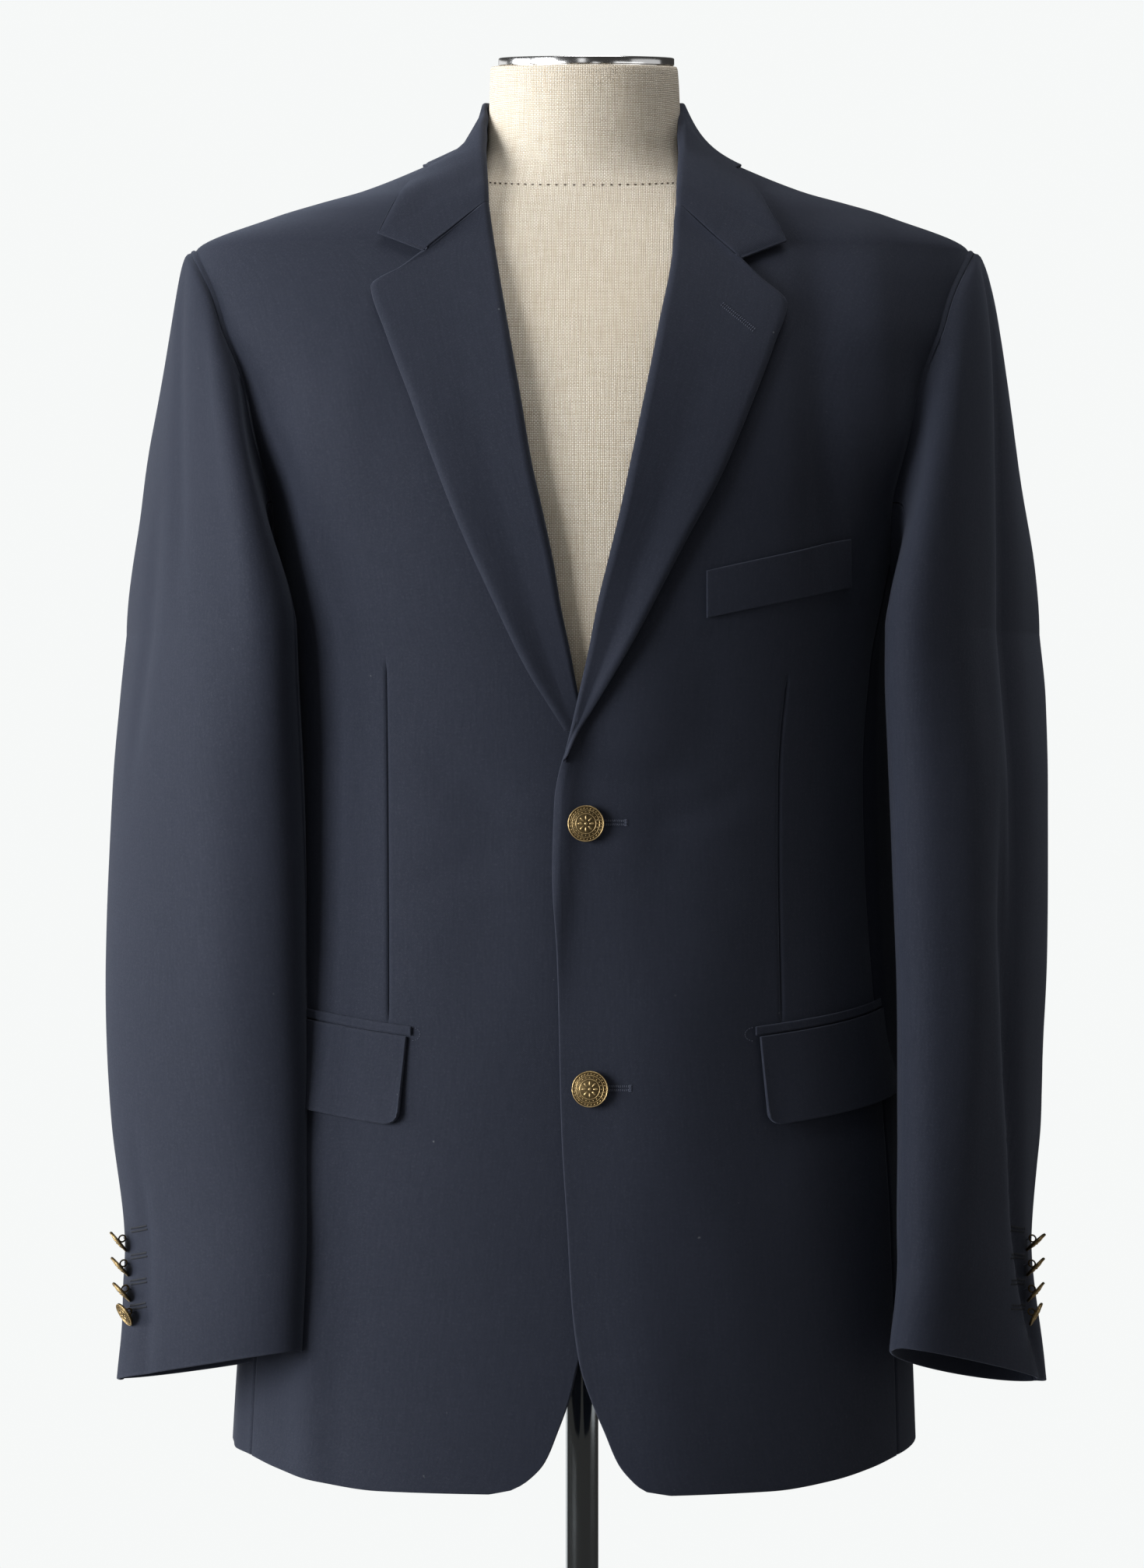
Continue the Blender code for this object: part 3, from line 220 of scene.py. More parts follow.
# ---------------------------------------------------------------- folds, darts and seams
# A fold is a soft ridge, or with a negative height a trough, along a line from one place to another. It bows
# by bend half way, and fades towards both ends. Across is x on the fronts, and degrees on the sides, backs
# and sleeves, where a degree counts as a millimetre.
FOLD = "across_0 z_0 across_1 z_1 bend width height"
FRONT_FOLDS = {
    LEFT: chart(
        FOLD,
        (136, 1460, 150, 1170, 4, 14, -4.6), (166, 1450, 186, 1230, 0, 14, 3),
        (-16.5, 960, -3, 1190, -2, 6.5, 4.2), (20, 1075, 105, 1105, 6, 10, -1.2),
        (22, 1062, 98, 1030, -8, 11, -1.1), (60, 1150, 52, 960, 10, 22, -2.2),
        (150, 1060, 128, 800, 6, 22, 2), (56, 1220, 58, 520, 0, 45, 6.2), (40, 900, 90, 705, 8, 24, -1.8),
    ),
    RIGHT: chart(
        FOLD,
        (-130, 1380, -140, 1210, 4, 18, 1.8), (-160, 1400, -158, 560, 0, 11.5, 5.6),
        (-28, 1080, -100, 1125, -6, 12, -1.2), (-30, 1060, -110, 1035, 6, 12, -1),
        (-66, 1150, -72, 930, -10, 26, -2),
    ),
}
SIDE_FOLDS = {
    LEFT: chart(FOLD, (89, 1228, 89, 860, 0, 14, 11.5), (104, 980, 100, 640, 3, 8, -3)),
    RIGHT: chart(
        FOLD,
        (80, 1350, 78, 820, 0, 8, -6), (78, 860, 74, 620, 1, 4, 2.2), (102, 960, 98, 640, -3, 8, -3),
    ),
}
BACK_FOLDS = {
    LEFT: chart(
        FOLD,
        (148, 1395, 118, 1180, 6, 10, -4), (160, 1440, 110, 1400, 4, 12, -1.8),
        (172, 1130, 120, 1085, -6, 14, -2), (168, 1070, 128, 1050, 4, 12, -1.4),
        (150, 1020, 138, 730, 4, 12, 2.6),
    ),
    RIGHT: chart(
        FOLD,
        (150, 1400, 121, 1160, 6, 10, -3.6), (164, 1436, 114, 1404, 3, 13, -1.6),
        (170, 1110, 124, 1080, -4, 13, -1.8), (152, 990, 142, 740, -4, 14, 2.4),
    ),
}
SLEEVE_FOLDS = {
    LEFT: chart(
        FOLD,
        (105, 1560, 101, 880, 4, 9, 3.2), (107, 1560, 103, 880, 4, 3.6, 2.3),
        (104, 1160, 6, 680, -42, 8, 3.4), (106, 1160, 8, 680, -42, 3.4, 2.2),
        (134, 1300, 136, 800, 0, 14, -2.8), (40, 960, 20, 760, 0, 12, -3), (55, 1420, 50, 1230, 0, 22, 2.2),
        (228, 1064, 292, 1024, -4, 14, -3.4), (232, 1012, 304, 977, 3, 12, -2.8),
        (262, 1250, 262, 900, 0, 26, 3), (330, 1150, 330, 860, 4, 14, -2.6),
    ),
    RIGHT: chart(
        FOLD,
        (108, 1440, 106, 1180, 0, 6, 2.2), (90, 1290, 70, 1080, 0, 6, 2), (156, 1420, 160, 1150, 0, 13, -3.2),
        (124, 1240, 122, 860, -6, 18, -2), (45, 1420, 45, 1250, 0, 22, -3), (8, 810, 8, 690, 0, 22, 5),
        (62, 920, 70, 700, 2, 6, 1.6), (232, 1082, 294, 1037, 4, 13, -3.2),
        (234, 1027, 300, 992, -3, 12, -2.6), (226, 1300, 222, 640, 0, 20, -3),
        (312, 1120, 328, 850, -4, 16, -2.4),
    ),
}
# A dart runs down each front, shaped by taking cloth in along a stitched line.
DART = chart(EDGE, (960, 114, -112), (1059, 113, -112.5), (1105, 113.5, -112.8), (1173, 119.5, -113.5))
DART_TOP = {LEFT: 1.164, RIGHT: 1.173}
DART_FADE = 0.010
FOLD_FADE = 0.010  # folds die out over this distance from a panel's seams
SEAM_DEPTH, SEAM_WIDTH = 0.0018, 0.0009  # the cloth dips into a seam
ROPING = 0.0016  # the sleeve head's seam stands a little proud
# Of the two lines added along each edge, the inner one lies at most RIM_MOST of a grid step in, and the outer
# one at RIM_STEP of that, where the cloth has RIM_SWELL of its thickness.
RIM_MOST, RIM_STEP, RIM_SWELL = 0.8, 0.3, 0.72
EDGE_WEAR = 0.003  # edges wear over this distance
THREAD_RISE = 0.0001  # of a stitch's middle over the cloth


# ---------------------------------------------------------------- drafting
def read(rows, field, at):
    """A column of a table at values of its first column, on a smooth curve that never overshoots the rows."""
    places = np.array([row[0] for row in rows], float)
    values = np.array([getattr(row, field) for row in rows], float)
    secants = np.diff(values) / np.diff(places)
    before, after = secants[:-1], secants[1:]
    turning = before * after <= 0
    inner = 2 * before * after / np.where(turning, 1.0, before + after)
    slopes = np.concatenate([secants[:1], np.where(turning, 0.0, inner), secants[-1:]])
    at = np.clip(at, places[0], places[-1])
    k = np.clip(np.searchsorted(places, at, side="right") - 1, 0, len(places) - 2)
    span = places[k + 1] - places[k]
    t = (at - places[k]) / span
    rise = t * t * (3 - 2 * t)
    bend = slopes[k] * span * t * (1 - t) ** 2 - slopes[k + 1] * span * t * t * (1 - t)
    return values[k] + (values[k + 1] - values[k]) * rise + bend


def mix(a, b, t):
    return a + (b - a) * t


def eased(value, start, end):
    """0 before start, 1 after end, smooth between."""
    t = np.clip((value - start) / (end - start), 0.0, 1.0)
    return t * t * (3 - 2 * t)


def unit(vectors):
    return vectors / np.maximum(np.linalg.norm(vectors, axis=-1, keepdims=True), 1e-12)


def stack(x, y, z):
    return np.stack(np.broadcast_arrays(x, y, z), axis=-1).astype(float)


def signed_power(value, exponent):
    return np.sign(value) * np.abs(value) ** exponent


def section_point(table, z, angle):
    """Points of level sections: angle 0 is the centre front, 90 degrees the wearer's left, 180 the back."""
    exponent = 2 / read(table, "power", z)
    depth = np.where(np.cos(angle) > 0, read(table, "front", z), read(table, "back", z))
    x = read(table, "shift", z) + read(table, "half_width", z) * signed_power(np.sin(angle), exponent)
    return stack(x, -depth * signed_power(np.cos(angle), exponent), z)


def body_point(z, angle, height=0.0):
    """Points at a height over the outside of the garment's body."""
    d_angle, d_z = 0.01, 0.0005
    across = section_point(BODY, z, angle + d_angle) - section_point(BODY, z, angle - d_angle)
    up = section_point(BODY, z + d_z, angle) - section_point(BODY, z - d_z, angle)
    return section_point(BODY, z, angle) + unit(np.cross(across, up)) * np.asarray(height)[..., None]


def angle_at_x(z, x):
    ratio = (x - read(BODY, "shift", z)) / read(BODY, "half_width", z)
    return np.sign(ratio) * np.arcsin(np.minimum(np.abs(ratio), 1.0) ** (read(BODY, "power", z) / 2))


def angle_at_depth(z, y):
    depth = np.where(y < 0, read(BODY, "front", z), read(BODY, "back", z))
    cosine = np.minimum(np.abs(y) / depth, 1.0) ** (read(BODY, "power", z) / 2)
    return np.arccos(np.where(y < 0, cosine, -cosine))


def armhole_angle(z, facing):
    """The armhole's edge at a height: facing -1 in front, +1 behind."""
    rise = np.minimum(np.abs(z - ARMHOLE_Z) / ARMHOLE_HALF_HEIGHT, 1.0)
    return angle_at_depth(z, facing * ARMHOLE_HALF_DEPTH * np.sqrt(1 - rise * rise))


def armhole_turn(level, facing):
    """Where round the armhole a level lies: 0 is its hindmost point, 90 degrees its top, 270 its foot."""
    turn = math.asin(min((level - ARMHOLE_Z) / ARMHOLE_HALF_HEIGHT, 1.0))
    return math.pi - turn if facing < 0 else turn


def armhole_point(turn):
    z = ARMHOLE_Z + ARMHOLE_HALF_HEIGHT * np.sin(turn)
    return z, angle_at_depth(z, ARMHOLE_HALF_DEPTH * np.cos(turn))


FRONT_SEAM_TOP = float(armhole_angle(ARMHOLE_FOOT, -1))
BACK_SEAM_TOP = float(armhole_angle(ARMHOLE_FOOT, 1))


def front_seam(z):
    return mix(FRONT_SEAM_AT_HEM, FRONT_SEAM_TOP, eased(z, HEM, ARMHOLE_FOOT))


def back_seam(z):
    return mix(BACK_SEAM_AT_HEM, BACK_SEAM_TOP, eased(z, HEM, ARMHOLE_FOOT))


def side_limit(z, facing):
    """How far round a front or a back reaches: to its seam, then the armhole, then the shoulder seam."""
    seam = front_seam(z) if facing < 0 else back_seam(z)
    below_tip = np.where(z <= ARMHOLE_FOOT, seam, armhole_angle(z, facing))
    return np.where(z < SHOULDER_TIP, below_tip, math.pi / 2)


def row_height(level, angle):
    """A row's height: the lowest rows follow the hem, the highest ones the neckline."""
    lowest = read(HEM_LINE, "z", np.abs(np.degrees(angle)))
    z = level + (lowest - HEM) * (1 - eased(level, HEM, HEM_FADE))
    behind = eased(np.abs(angle), math.pi / 2, math.pi)
    return z - BACK_NECK_DROP * behind * eased(level, BACK_NECK_FADE, NECK_POINT)


def metres_per_radian(z, angle):
    d_angle = 0.01
    span = section_point(BODY, z, angle + d_angle) - section_point(BODY, z, angle - d_angle)
    return np.linalg.norm(span, axis=-1) / (2 * d_angle)


def side_name(side):
    return "left" if side == LEFT else "right"


def rows_between(stops, step):
    """Heights through all the stops, no further apart than a step."""
    heights = [stops[0]]
    for low, high in zip(stops, stops[1:]):
        count = max(1, math.ceil((high - low) / step))
        heights += [mix(low, high, k / count) for k in range(1, count + 1)]
    return np.array(heights)


def shares(width, step, crowd=(0.0006, 0.0014, 0.0026)):
    """Shares from 0 to 1 across a width, evenly spaced, with more of them close to both ends."""
    even = np.linspace(0, 1, max(2, math.ceil(width / step)) + 1)
    close = [near / width for near in crowd if near < width / 3]
    return np.unique(np.concatenate([even, close, [1 - share for share in close]]))


def folded(table, across, z):
    """The height of all the folds of a table at places on the cloth."""
    height = np.zeros(np.broadcast(across, z).shape)
    for fold in table:
        run = np.array([fold.across_1 - fold.across_0, fold.z_1 - fold.z_0])
        length = np.linalg.norm(run)
        from_start = (across - fold.across_0, z - fold.z_0)
        t = (from_start[0] * run[0] + from_start[1] * run[1]) / length**2
        aside = (from_start[0] * run[1] - from_start[1] * run[0]) / length
        inside = np.clip(t, 0, 1)
        aside = aside - fold.bend * 4 * inside * (1 - inside)
        fade = eased(t, 0, 0.35) * (1 - eased(t, 0.65, 1))
        height += fold.height * np.exp(-((aside / fold.width) ** 2)) * fade
    return height


def seam_dip(distance):
    """How far the cloth sinks at a distance from a seam."""
    return -SEAM_DEPTH * np.exp(-((distance / SEAM_WIDTH) ** 2))


def lap_height(side, x, z):
    if side == RIGHT:
        return np.zeros(np.broadcast(x, z).shape)
    return read(LAP_HEIGHTS, "height", z) * (1 - eased(x, LAP_FULL_X, LAP_END_X))


def front_relief(side, z, angle):
    """How far a front stands off the plain body: its lap, and its folds, which die out before its seams."""
    x = section_point(BODY, z, angle)[..., 0]
    to_seam = (side_limit(z, -1) - np.abs(angle)) * metres_per_radian(z, angle)
    return lap_height(side, x, z) + folded(FRONT_FOLDS[side], x, z) * eased(to_seam, 0.0, FOLD_FADE)


def front_point(side, x, z, height=0.0):
    """Points over a front, lap and folds included."""
    angle = angle_at_x(z, x)
    return body_point(z, angle, height + front_relief(side, z, angle))


def lie(field, z):
    return read(LAPEL_LIES, field, z)


def front_edge(side, z):
    """x of a front's inner edge, which tucks in under the lapel above the break."""
    name = side_name(side)
    tucked = read(ROLL_LINES, name, z) + side * (lie("radius", z) + EDGE_BEHIND_ROLL)
    return mix(read(FRONT_EDGES, name, z), tucked, eased(z, TURN_START, TURN_FULL))


def dart_share(side, z):
    """Where across a front its dart lies, held level above and below the dart."""
    inside = np.clip(z, DART[0].z, DART[-1].z)
    angle = angle_at_x(inside, read(DART, side_name(side), inside))
    low = angle_at_x(inside, front_edge(side, inside))
    high = side * side_limit(inside, -1)
    return (angle - low) / (high - low)


# ---------------------------------------------------------------- cloth
def lattice_normals(points):
    return unit(np.cross(np.gradient(points, axis=1), np.gradient(points, axis=0)))


def lengths(points, axis):
    """Distances along the lattice's rows or columns, from its first one."""
    steps = np.linalg.norm(np.diff(points, axis=axis), axis=-1)
    start = np.zeros_like(np.take(steps, [0], axis=axis))
    return np.concatenate([start, np.cumsum(steps, axis=axis)], axis=axis)


def with_rims(points, radius):
    """The lattice with two more lines close to each edge, where the cloth rounds off."""
    for axis in (0, 1):
        spans = np.diff(lengths(points, axis).mean(axis=1 - axis))
        last = points.shape[axis] - 1
        near, far = np.minimum(radius / spans[[0, -1]], RIM_MOST)
        start, end = [0, RIM_STEP * near, near], [last - far, last - RIM_STEP * far, last]
        at = np.concatenate([start, np.arange(1, last), end])
        low = np.clip(np.floor(at).astype(int), 0, last - 1)
        t = (at - low).reshape((-1, 1, 1) if axis == 0 else (1, -1, 1))
        points = mix(np.take(points, low, axis), np.take(points, low + 1, axis), t)
    return points


def rim_profile(count):
    """How full the thickness is at each line of a lattice: none at the edges, where the two faces meet."""
    profile = np.ones(count)
    profile[[0, -1]] = 0.0
    profile[[1, -2]] = RIM_SWELL
    return profile


def link(obj):
    bpy.context.scene.collection.objects.link(obj)
    return obj


def mesh_object(name, vertices, faces, material):
    mesh = bpy.data.meshes.new(name)
    mesh.from_pydata(vertices, [], faces)
    mesh.materials.append(material)
    mesh.shade_smooth()
    return link(bpy.data.objects.new(name, mesh))


def outward_mesh(name, vertices, faces, material):
    """A mesh whose faces look outwards."""
    a, b, c, d = np.moveaxis(vertices[faces], 1, 0)
    volume = (a * np.cross(b, c)).sum() + (a * np.cross(c, d)).sum()
    faces = faces[:, ::-1] if volume < 0 else faces
    return mesh_object(name, vertices.tolist(), faces.tolist(), material)


def set_cloth_uv(obj, places):
    """A UV map in metres along the cloth, from a place for each point."""
    corner = np.empty(len(obj.data.loops), np.int32)
    obj.data.loops.foreach_get("vertex_index", corner)
    obj.data.uv_layers.new(name="cloth").data.foreach_set("uv", places[corner].astype(np.float32).ravel())


def quads(index):
    """The faces between neighbours in a lattice of point numbers."""
    corners = (index[:-1, :-1], index[:-1, 1:], index[1:, 1:], index[1:, :-1])
    return np.stack(corners, axis=-1).reshape(-1, 4)


def cloth_places(points, column):
    """Places in metres along the cloth, each row measured from one column."""
    across, up = lengths(points, 1), lengths(points, 0)
    return np.stack([across - across[:, [column]], np.broadcast_to(up[:, [column]], across.shape)], axis=-1)


def settle(obj, node=None):
    """What a finished piece rides on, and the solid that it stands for."""
    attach(obj, "root")
    if node:
        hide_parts(node)


def sew(node, points, wool, thickness=CLOTH, grain=0.5):
    """A thin shell of cloth with rounded edges round a lattice of middle points. Its UV map is in metres on
    the cloth, level with the column at the grain's share, and its edge attribute fades in from every edge."""
    points = with_rims(points, thickness / 2)
    rows, columns = points.shape[:2]
    swell = np.outer(rim_profile(rows), rim_profile(columns)) * thickness / 2
    offset = lattice_normals(points) * swell[..., None]
    inner = np.zeros((rows, columns), bool)
    inner[1:-1, 1:-1] = True
    front = np.arange(rows * columns).reshape(rows, columns)
    behind = front.copy()
    behind[inner] = rows * columns + np.arange(inner.sum())
    vertices = np.concatenate([(points + offset).reshape(-1, 3), (points - offset)[inner]])
    obj = outward_mesh("wool_" + node, vertices, np.concatenate([quads(front), quads(behind)[:, ::-1]]), wool)

    place = cloth_places(points, round(grain * (columns - 1)))
    set_cloth_uv(obj, np.concatenate([place.reshape(-1, 2), place[inner]]))
    across, up = lengths(points, 1), lengths(points, 0)
    nearest = np.minimum(np.minimum(across, across[:, [-1]] - across), np.minimum(up, up[[-1]] - up))
    edge = np.exp(-np.concatenate([nearest.ravel(), nearest[inner]]) / EDGE_WEAR)
    obj.data.attributes.new("edge", "FLOAT", "POINT").data.foreach_set("value", edge.astype(np.float32))
    settle(obj, node)


def panel_rows(*stops):
    """Levels of a front or a back, through these stops up to the shoulder's tip, and closer ones above it."""
    below = rows_between((HEM, *stops, BELOW_TIP), GRID)
    above = rows_between((ABOVE_TIP, 1.437, 1.452, 1.466, NECK_POINT), GRID / 2)
    return np.concatenate([below, above])[:, None]


def creases(rows, angle, z, to_seam):
    """Folds laid out by their angle, which die out before a panel's seams."""
    return folded(rows, np.degrees(angle) / 1000, z) * eased(to_seam, 0.0, FOLD_FADE)


def make_front(side, wool):
    """A front, its columns running down through the dart from the shoulder to the hem."""
    z = panel_rows(0.6948, 0.6965, 0.6990, 0.7035, 0.7080, 0.7125, 0.7300, ARMHOLE_FOOT, 1.400)
    start = angle_at_x(z, front_edge(side, z))
    limit = side * side_limit(z, -1)
    end = limit - side * SEAM / metres_per_radian(z, limit)
    dart = mix(start, end, dart_share(side, z))
    before, after = shares(0.115, GRID), shares(0.085, GRID)
    angle = np.concatenate([mix(start, dart, before), mix(dart, end, after[1:])], axis=1)
    z = row_height(z, angle)
    per_radian = metres_per_radian(z, angle)
    foot, top = DART[0].z, DART_TOP[side]
    sewn = eased(z, foot, foot + DART_FADE) * (1 - eased(z, top - DART_FADE, top))
    dips = seam_dip(np.abs(end - angle) * per_radian) + seam_dip(np.abs(dart - angle) * per_radian) * sewn
    points = body_point(z, angle, front_relief(side, z, angle) + dips - WALL / 2)
    sew("front_" + side_name(side), points, wool, grain=0.55)


def make_side(side, wool):
    """The panel under the arm, its top edge cut to the armhole."""
    below = 1.164  # the rows above this bend to the armhole's curve
    levels = rows_between((HEM, 0.700, 0.730, below, ARMHOLE_FOOT), GRID)[:, None]
    share = np.maximum((levels - below) / (ARMHOLE_FOOT - below), 0.0)
    across = shares(0.170, GRID)[None, :]
    start, end = front_seam(levels), back_seam(levels)
    inset = SEAM / metres_per_radian(levels, start)
    first, last = armhole_turn(ARMHOLE_FOOT, -1), armhole_turn(ARMHOLE_FOOT, 1) + 2 * math.pi
    top_z, top_angle = armhole_point(mix(first, last, across))
    angle = mix(mix(start + inset, end - inset, across), top_angle, share)
    angle = np.clip(angle, start + inset, end - inset)
    z = np.where(share > 0, mix(below, top_z - SEAM, share), row_height(levels, angle))
    to_seam = np.minimum(angle - start, end - angle) * metres_per_radian(z, angle)
    height = creases(SIDE_FOLDS[side], angle, z, to_seam) + seam_dip(to_seam) - WALL / 2
    sew("side_" + side_name(side), body_point(z, side * angle, height), wool)


def make_back(side, wool):
    """A back, from the centre seam to the side. Below the vent's top the left one laps over the right one."""
    levels = panel_rows(0.700, 0.730, ARMHOLE_FOOT, 1.400)
    over = 1 if side == LEFT else 0
    reach = over * VENT_WIDTH * (1 - eased(levels, VENT_TOP - VENT_FADE, VENT_TOP)) - SEAM
    centre = math.pi + reach / metres_per_radian(levels, math.pi)
    limit = side_limit(levels, 1)
    end = limit + SEAM / metres_per_radian(levels, limit)
    angle = mix(centre, end, shares(0.190, GRID)[None, :])
    z = row_height(levels, np.minimum(angle, 2 * math.pi - angle))
    per_radian = metres_per_radian(z, angle)
    to_side, to_centre = (angle - end) * per_radian, (math.pi - angle) * per_radian
    sewn = eased(z, VENT_TOP - SEAM_FADE, VENT_TOP + SEAM_FADE)
    lap = VENT_HEIGHT * (1 - eased(z, VENT_TOP, VENT_TOP + VENT_FADE)) * eased(angle, *VENT_SPREAD)
    dips = seam_dip(to_side) + seam_dip(to_centre) * sewn
    creased = creases(BACK_FOLDS[side], angle, z, np.minimum(to_side, to_centre))
    points = body_point(z, side * angle, over * lap + dips + creased - WALL / 2)
    sew("back_" + side_name(side), points, wool)


FOLD_TURNS = np.radians(np.linspace(-90, 90, 13))
STAND_STEPS = 7


def make_lapel(side, wool):
    """The lapel turned back over its front: a short tuck, the roll, and the spread to its rounded edge."""
    name = side_name(side)
    top = LAPEL_ROWS[-1].crease_z
    z = rows_between((LAPEL_FOOT[side], 1.142, 1.165, 1.350, 1.4139, 1.4145, top), LAPEL_GRID)[:, None]
    crease_x = read(ROLL_LINES, name, z)
    edge_x, edge_z = read(LAPEL_ROWS, name + "_x", z), read(LAPEL_ROWS, name + "_z", z)
    reach = np.hypot(edge_x - crease_x, edge_z - z)
    radius = np.minimum(lie("radius", z), reach / 4)
    middle, low = radius + CLOTH / 2, radius - CLOTH / 2
    crest = low + radius
    share = shares(0.075, LAPEL_GRID, (0.0008, 0.0016, 0.0026, 0.0040))[None, 1:]
    out = mix(middle, reach, share)
    slope = (crest - lie("middle", z)) * (1 - share) ** 2
    lifted = mix(lie("middle", z), lie("edge", z), eased(share, 0.35, 1.0))
    rounding = np.clip(1 - (reach - out) / np.minimum(EDGE_ROUNDING, reach / 3), 0, 1)
    spread = slope + lifted - lie("drop", z) * rounding**2
    distance = [radius + LAPEL_BEHIND_ROLL, middle - radius * np.cos(FOLD_TURNS), out]
    height = [np.full_like(z, -WALL / 2), low + radius * np.sin(FOLD_TURNS), spread]
    distance, height = np.concatenate(distance, axis=1), np.concatenate(height, axis=1)
    x = crease_x + (edge_x - crease_x) / reach * distance
    points = front_point(side, x, z + (edge_z - z) / reach * distance, height)
    points = mix(points, gorge_row(side, share[0])[None], eased(z, GORGE_BLEND_FROM, top)[..., None])
    sew("lapel_" + name, points, wool)


def resting(points, height):
    """The points, moved out level where they are nearer to the body's outside than a height."""
    x, y, z = np.moveaxis(points, -1, 0)
    half_width, power = read(BODY, "half_width", z), read(BODY, "power", z)
    depth = np.where(y < 0, read(BODY, "front", z), read(BODY, "back", z))
    sine, cosine = (np.abs(x) / half_width) ** (power / 2), (np.abs(y) / depth) ** (power / 2)
    angle = np.arctan2(np.copysign(sine, x), np.copysign(cosine, -y))
    lying = body_point(z, angle, height)
    outer = np.hypot(lying[..., 0], lying[..., 1]) > np.hypot(x, y)
    return np.where((outer & (z <= NECK_POINT))[..., None], lying, points)


COLLAR_SHARES = np.array(
    [0.04, 0.09, 0.15, 0.22, 0.30, 0.38, 0.46, 0.54, 0.62, 0.70, 0.78, 0.86, 0.92, 0.96, 0.985, 1.0]
)


def collar_profiles(crease, outward, edge, foot, radius, sag, lift):
    """Sections of the collar: up the stand, over the crease and down the fall to its rounded edge."""
    radius, sag, lift = (np.broadcast_to(value, len(crease))[:, None, None] for value in (radius, sag, lift))
    spread = unit(edge - crease)
    outward = unit(outward - spread * (outward * spread).sum(axis=-1, keepdims=True))
    crease, outward, edge, foot, spread = (lines[:, None] for lines in (crease, outward, edge, foot, spread))
    turns, share = FOLD_TURNS[None, :, None], COLLAR_SHARES[None, :, None]
    fold = crease + outward * (radius * np.sin(turns)) - spread * (radius * np.cos(turns))
    stand = mix(foot, fold[:, :1], np.linspace(0, 1, STAND_STEPS + 1)[None, :-1, None])
    fall = mix(fold[:, -1:], edge, share) - outward * sag * np.sin(math.pi * share)
    edge_lift = lift * (eased(share, 0.5, 0.93) - 0.5 * eased(share, 0.93, 1.0))
    fall = resting(fall, NECK_COLLAR_HEIGHT) + outward * edge_lift
    return np.concatenate([stand, fold, fall], axis=1)


def collar_front(side, along):
    """The fall's front end, lying on the front."""
    rise = RIGHT_COLLAR_RISE if side == RIGHT else 0.0
    crease_x, edge_x = (side * read_straight(along, field) for field in ("crease_x", "edge_x"))
    crease_z, edge_z = read_straight(along, "crease_z") + rise / 3, read_straight(along, "edge_z") + rise
    to_neck = eased(along, 1.6, 3.0)
    edge_height = mix(COLLAR_HEIGHT, NECK_COLLAR_HEIGHT + NECK_COLLAR_START, to_neck)
    crease = front_point(side, crease_x, crease_z, ROLL_RADIUS - WALL / 2)
    edge = front_point(side, edge_x, edge_z, edge_height)
    outward = unit(crease - front_point(side, crease_x, crease_z))
    foot = crease - outward * ROLL_RADIUS + unit(edge - crease) * COLLAR_TUCK
    return collar_profiles(crease, outward, edge, foot, ROLL_RADIUS, FRONT_SAG, COLLAR_LIFT * (1 - to_neck))


def gorge_row(side, share):
    """The collar's first ring at a lapel's columns, for the gorge seam, where the two are sewn together."""
    ring = collar_front(side, np.array([0.0]))[0]
    bent = ring[STAND_STEPS : STAND_STEPS + len(FOLD_TURNS)]
    fall = ring[STAND_STEPS + len(FOLD_TURNS) - 1 :]
    at = np.concatenate([[0.0], COLLAR_SHARES])
    out = np.stack([np.interp(share, at, fall[:, k]) for k in range(3)], axis=-1)
    return np.concatenate([ring[[STAND_STEPS - 4]], bent, out])


def read_straight(along, field):
    """A column of the collar's front, straight from row to row, because its tip is a corner."""
    values = [getattr(row, field) for row in COLLAR_FRONT]
    return np.interp(along, [row.along for row in COLLAR_FRONT], values)


def collar_neck(side, degrees):
    """The collar round the neck, by the angle of its fall's edge."""
    first = COLLAR_ROWS[0].edge_degrees
    edge_z, crease_degrees, crease_radius, crease_z, foot_degrees, sag = (
        read(COLLAR_ROWS, field, degrees) for field in COLLAR_ROWS[0]._fields[1:]
    )
    turn, foot_angle = side * np.radians(crease_degrees), np.radians(foot_degrees)
    outward = stack(np.sin(turn), -np.cos(turn), 0.0)
    snug = RIGHT_COLLAR_SNUG * eased(degrees, first, 75) * (1 - eased(degrees, 95, 130)) * (side == RIGHT)
    crease = outward * (crease_radius - snug)[:, None]
    crease[:, 2] = crease_z
    height = NECK_COLLAR_HEIGHT + NECK_COLLAR_START * (1 - eased(degrees, first, 66))
    edge = body_point(edge_z, side * np.radians(degrees), height)
    foot = body_point(row_height(NECK_POINT, foot_angle), side * foot_angle, -WALL / 2) + [0, 0, STAND_GAP]
    radius = mix(ROLL_RADIUS, NECK_ROLL_RADIUS, eased(degrees, first, NECK_ROLL_DEGREES))
    return collar_profiles(crease, outward, edge, foot, radius, sag + snug * 2, 0.0)


def make_collar(wool):
    """One piece, from the left gorge round the neck to the right gorge."""
    along = np.unique(np.concatenate([np.linspace(0, 3, 25), [0.03, 0.97, 1.03]]))
    degrees = np.linspace(COLLAR_ROWS[0].edge_degrees, 180, 46)
    rings = [collar_front(LEFT, along), collar_neck(LEFT, degrees)]
    rings += [collar_neck(RIGHT, degrees[:-1])[::-1], collar_front(RIGHT, along)[::-1]]
    sew("collar", np.concatenate(rings), wool)


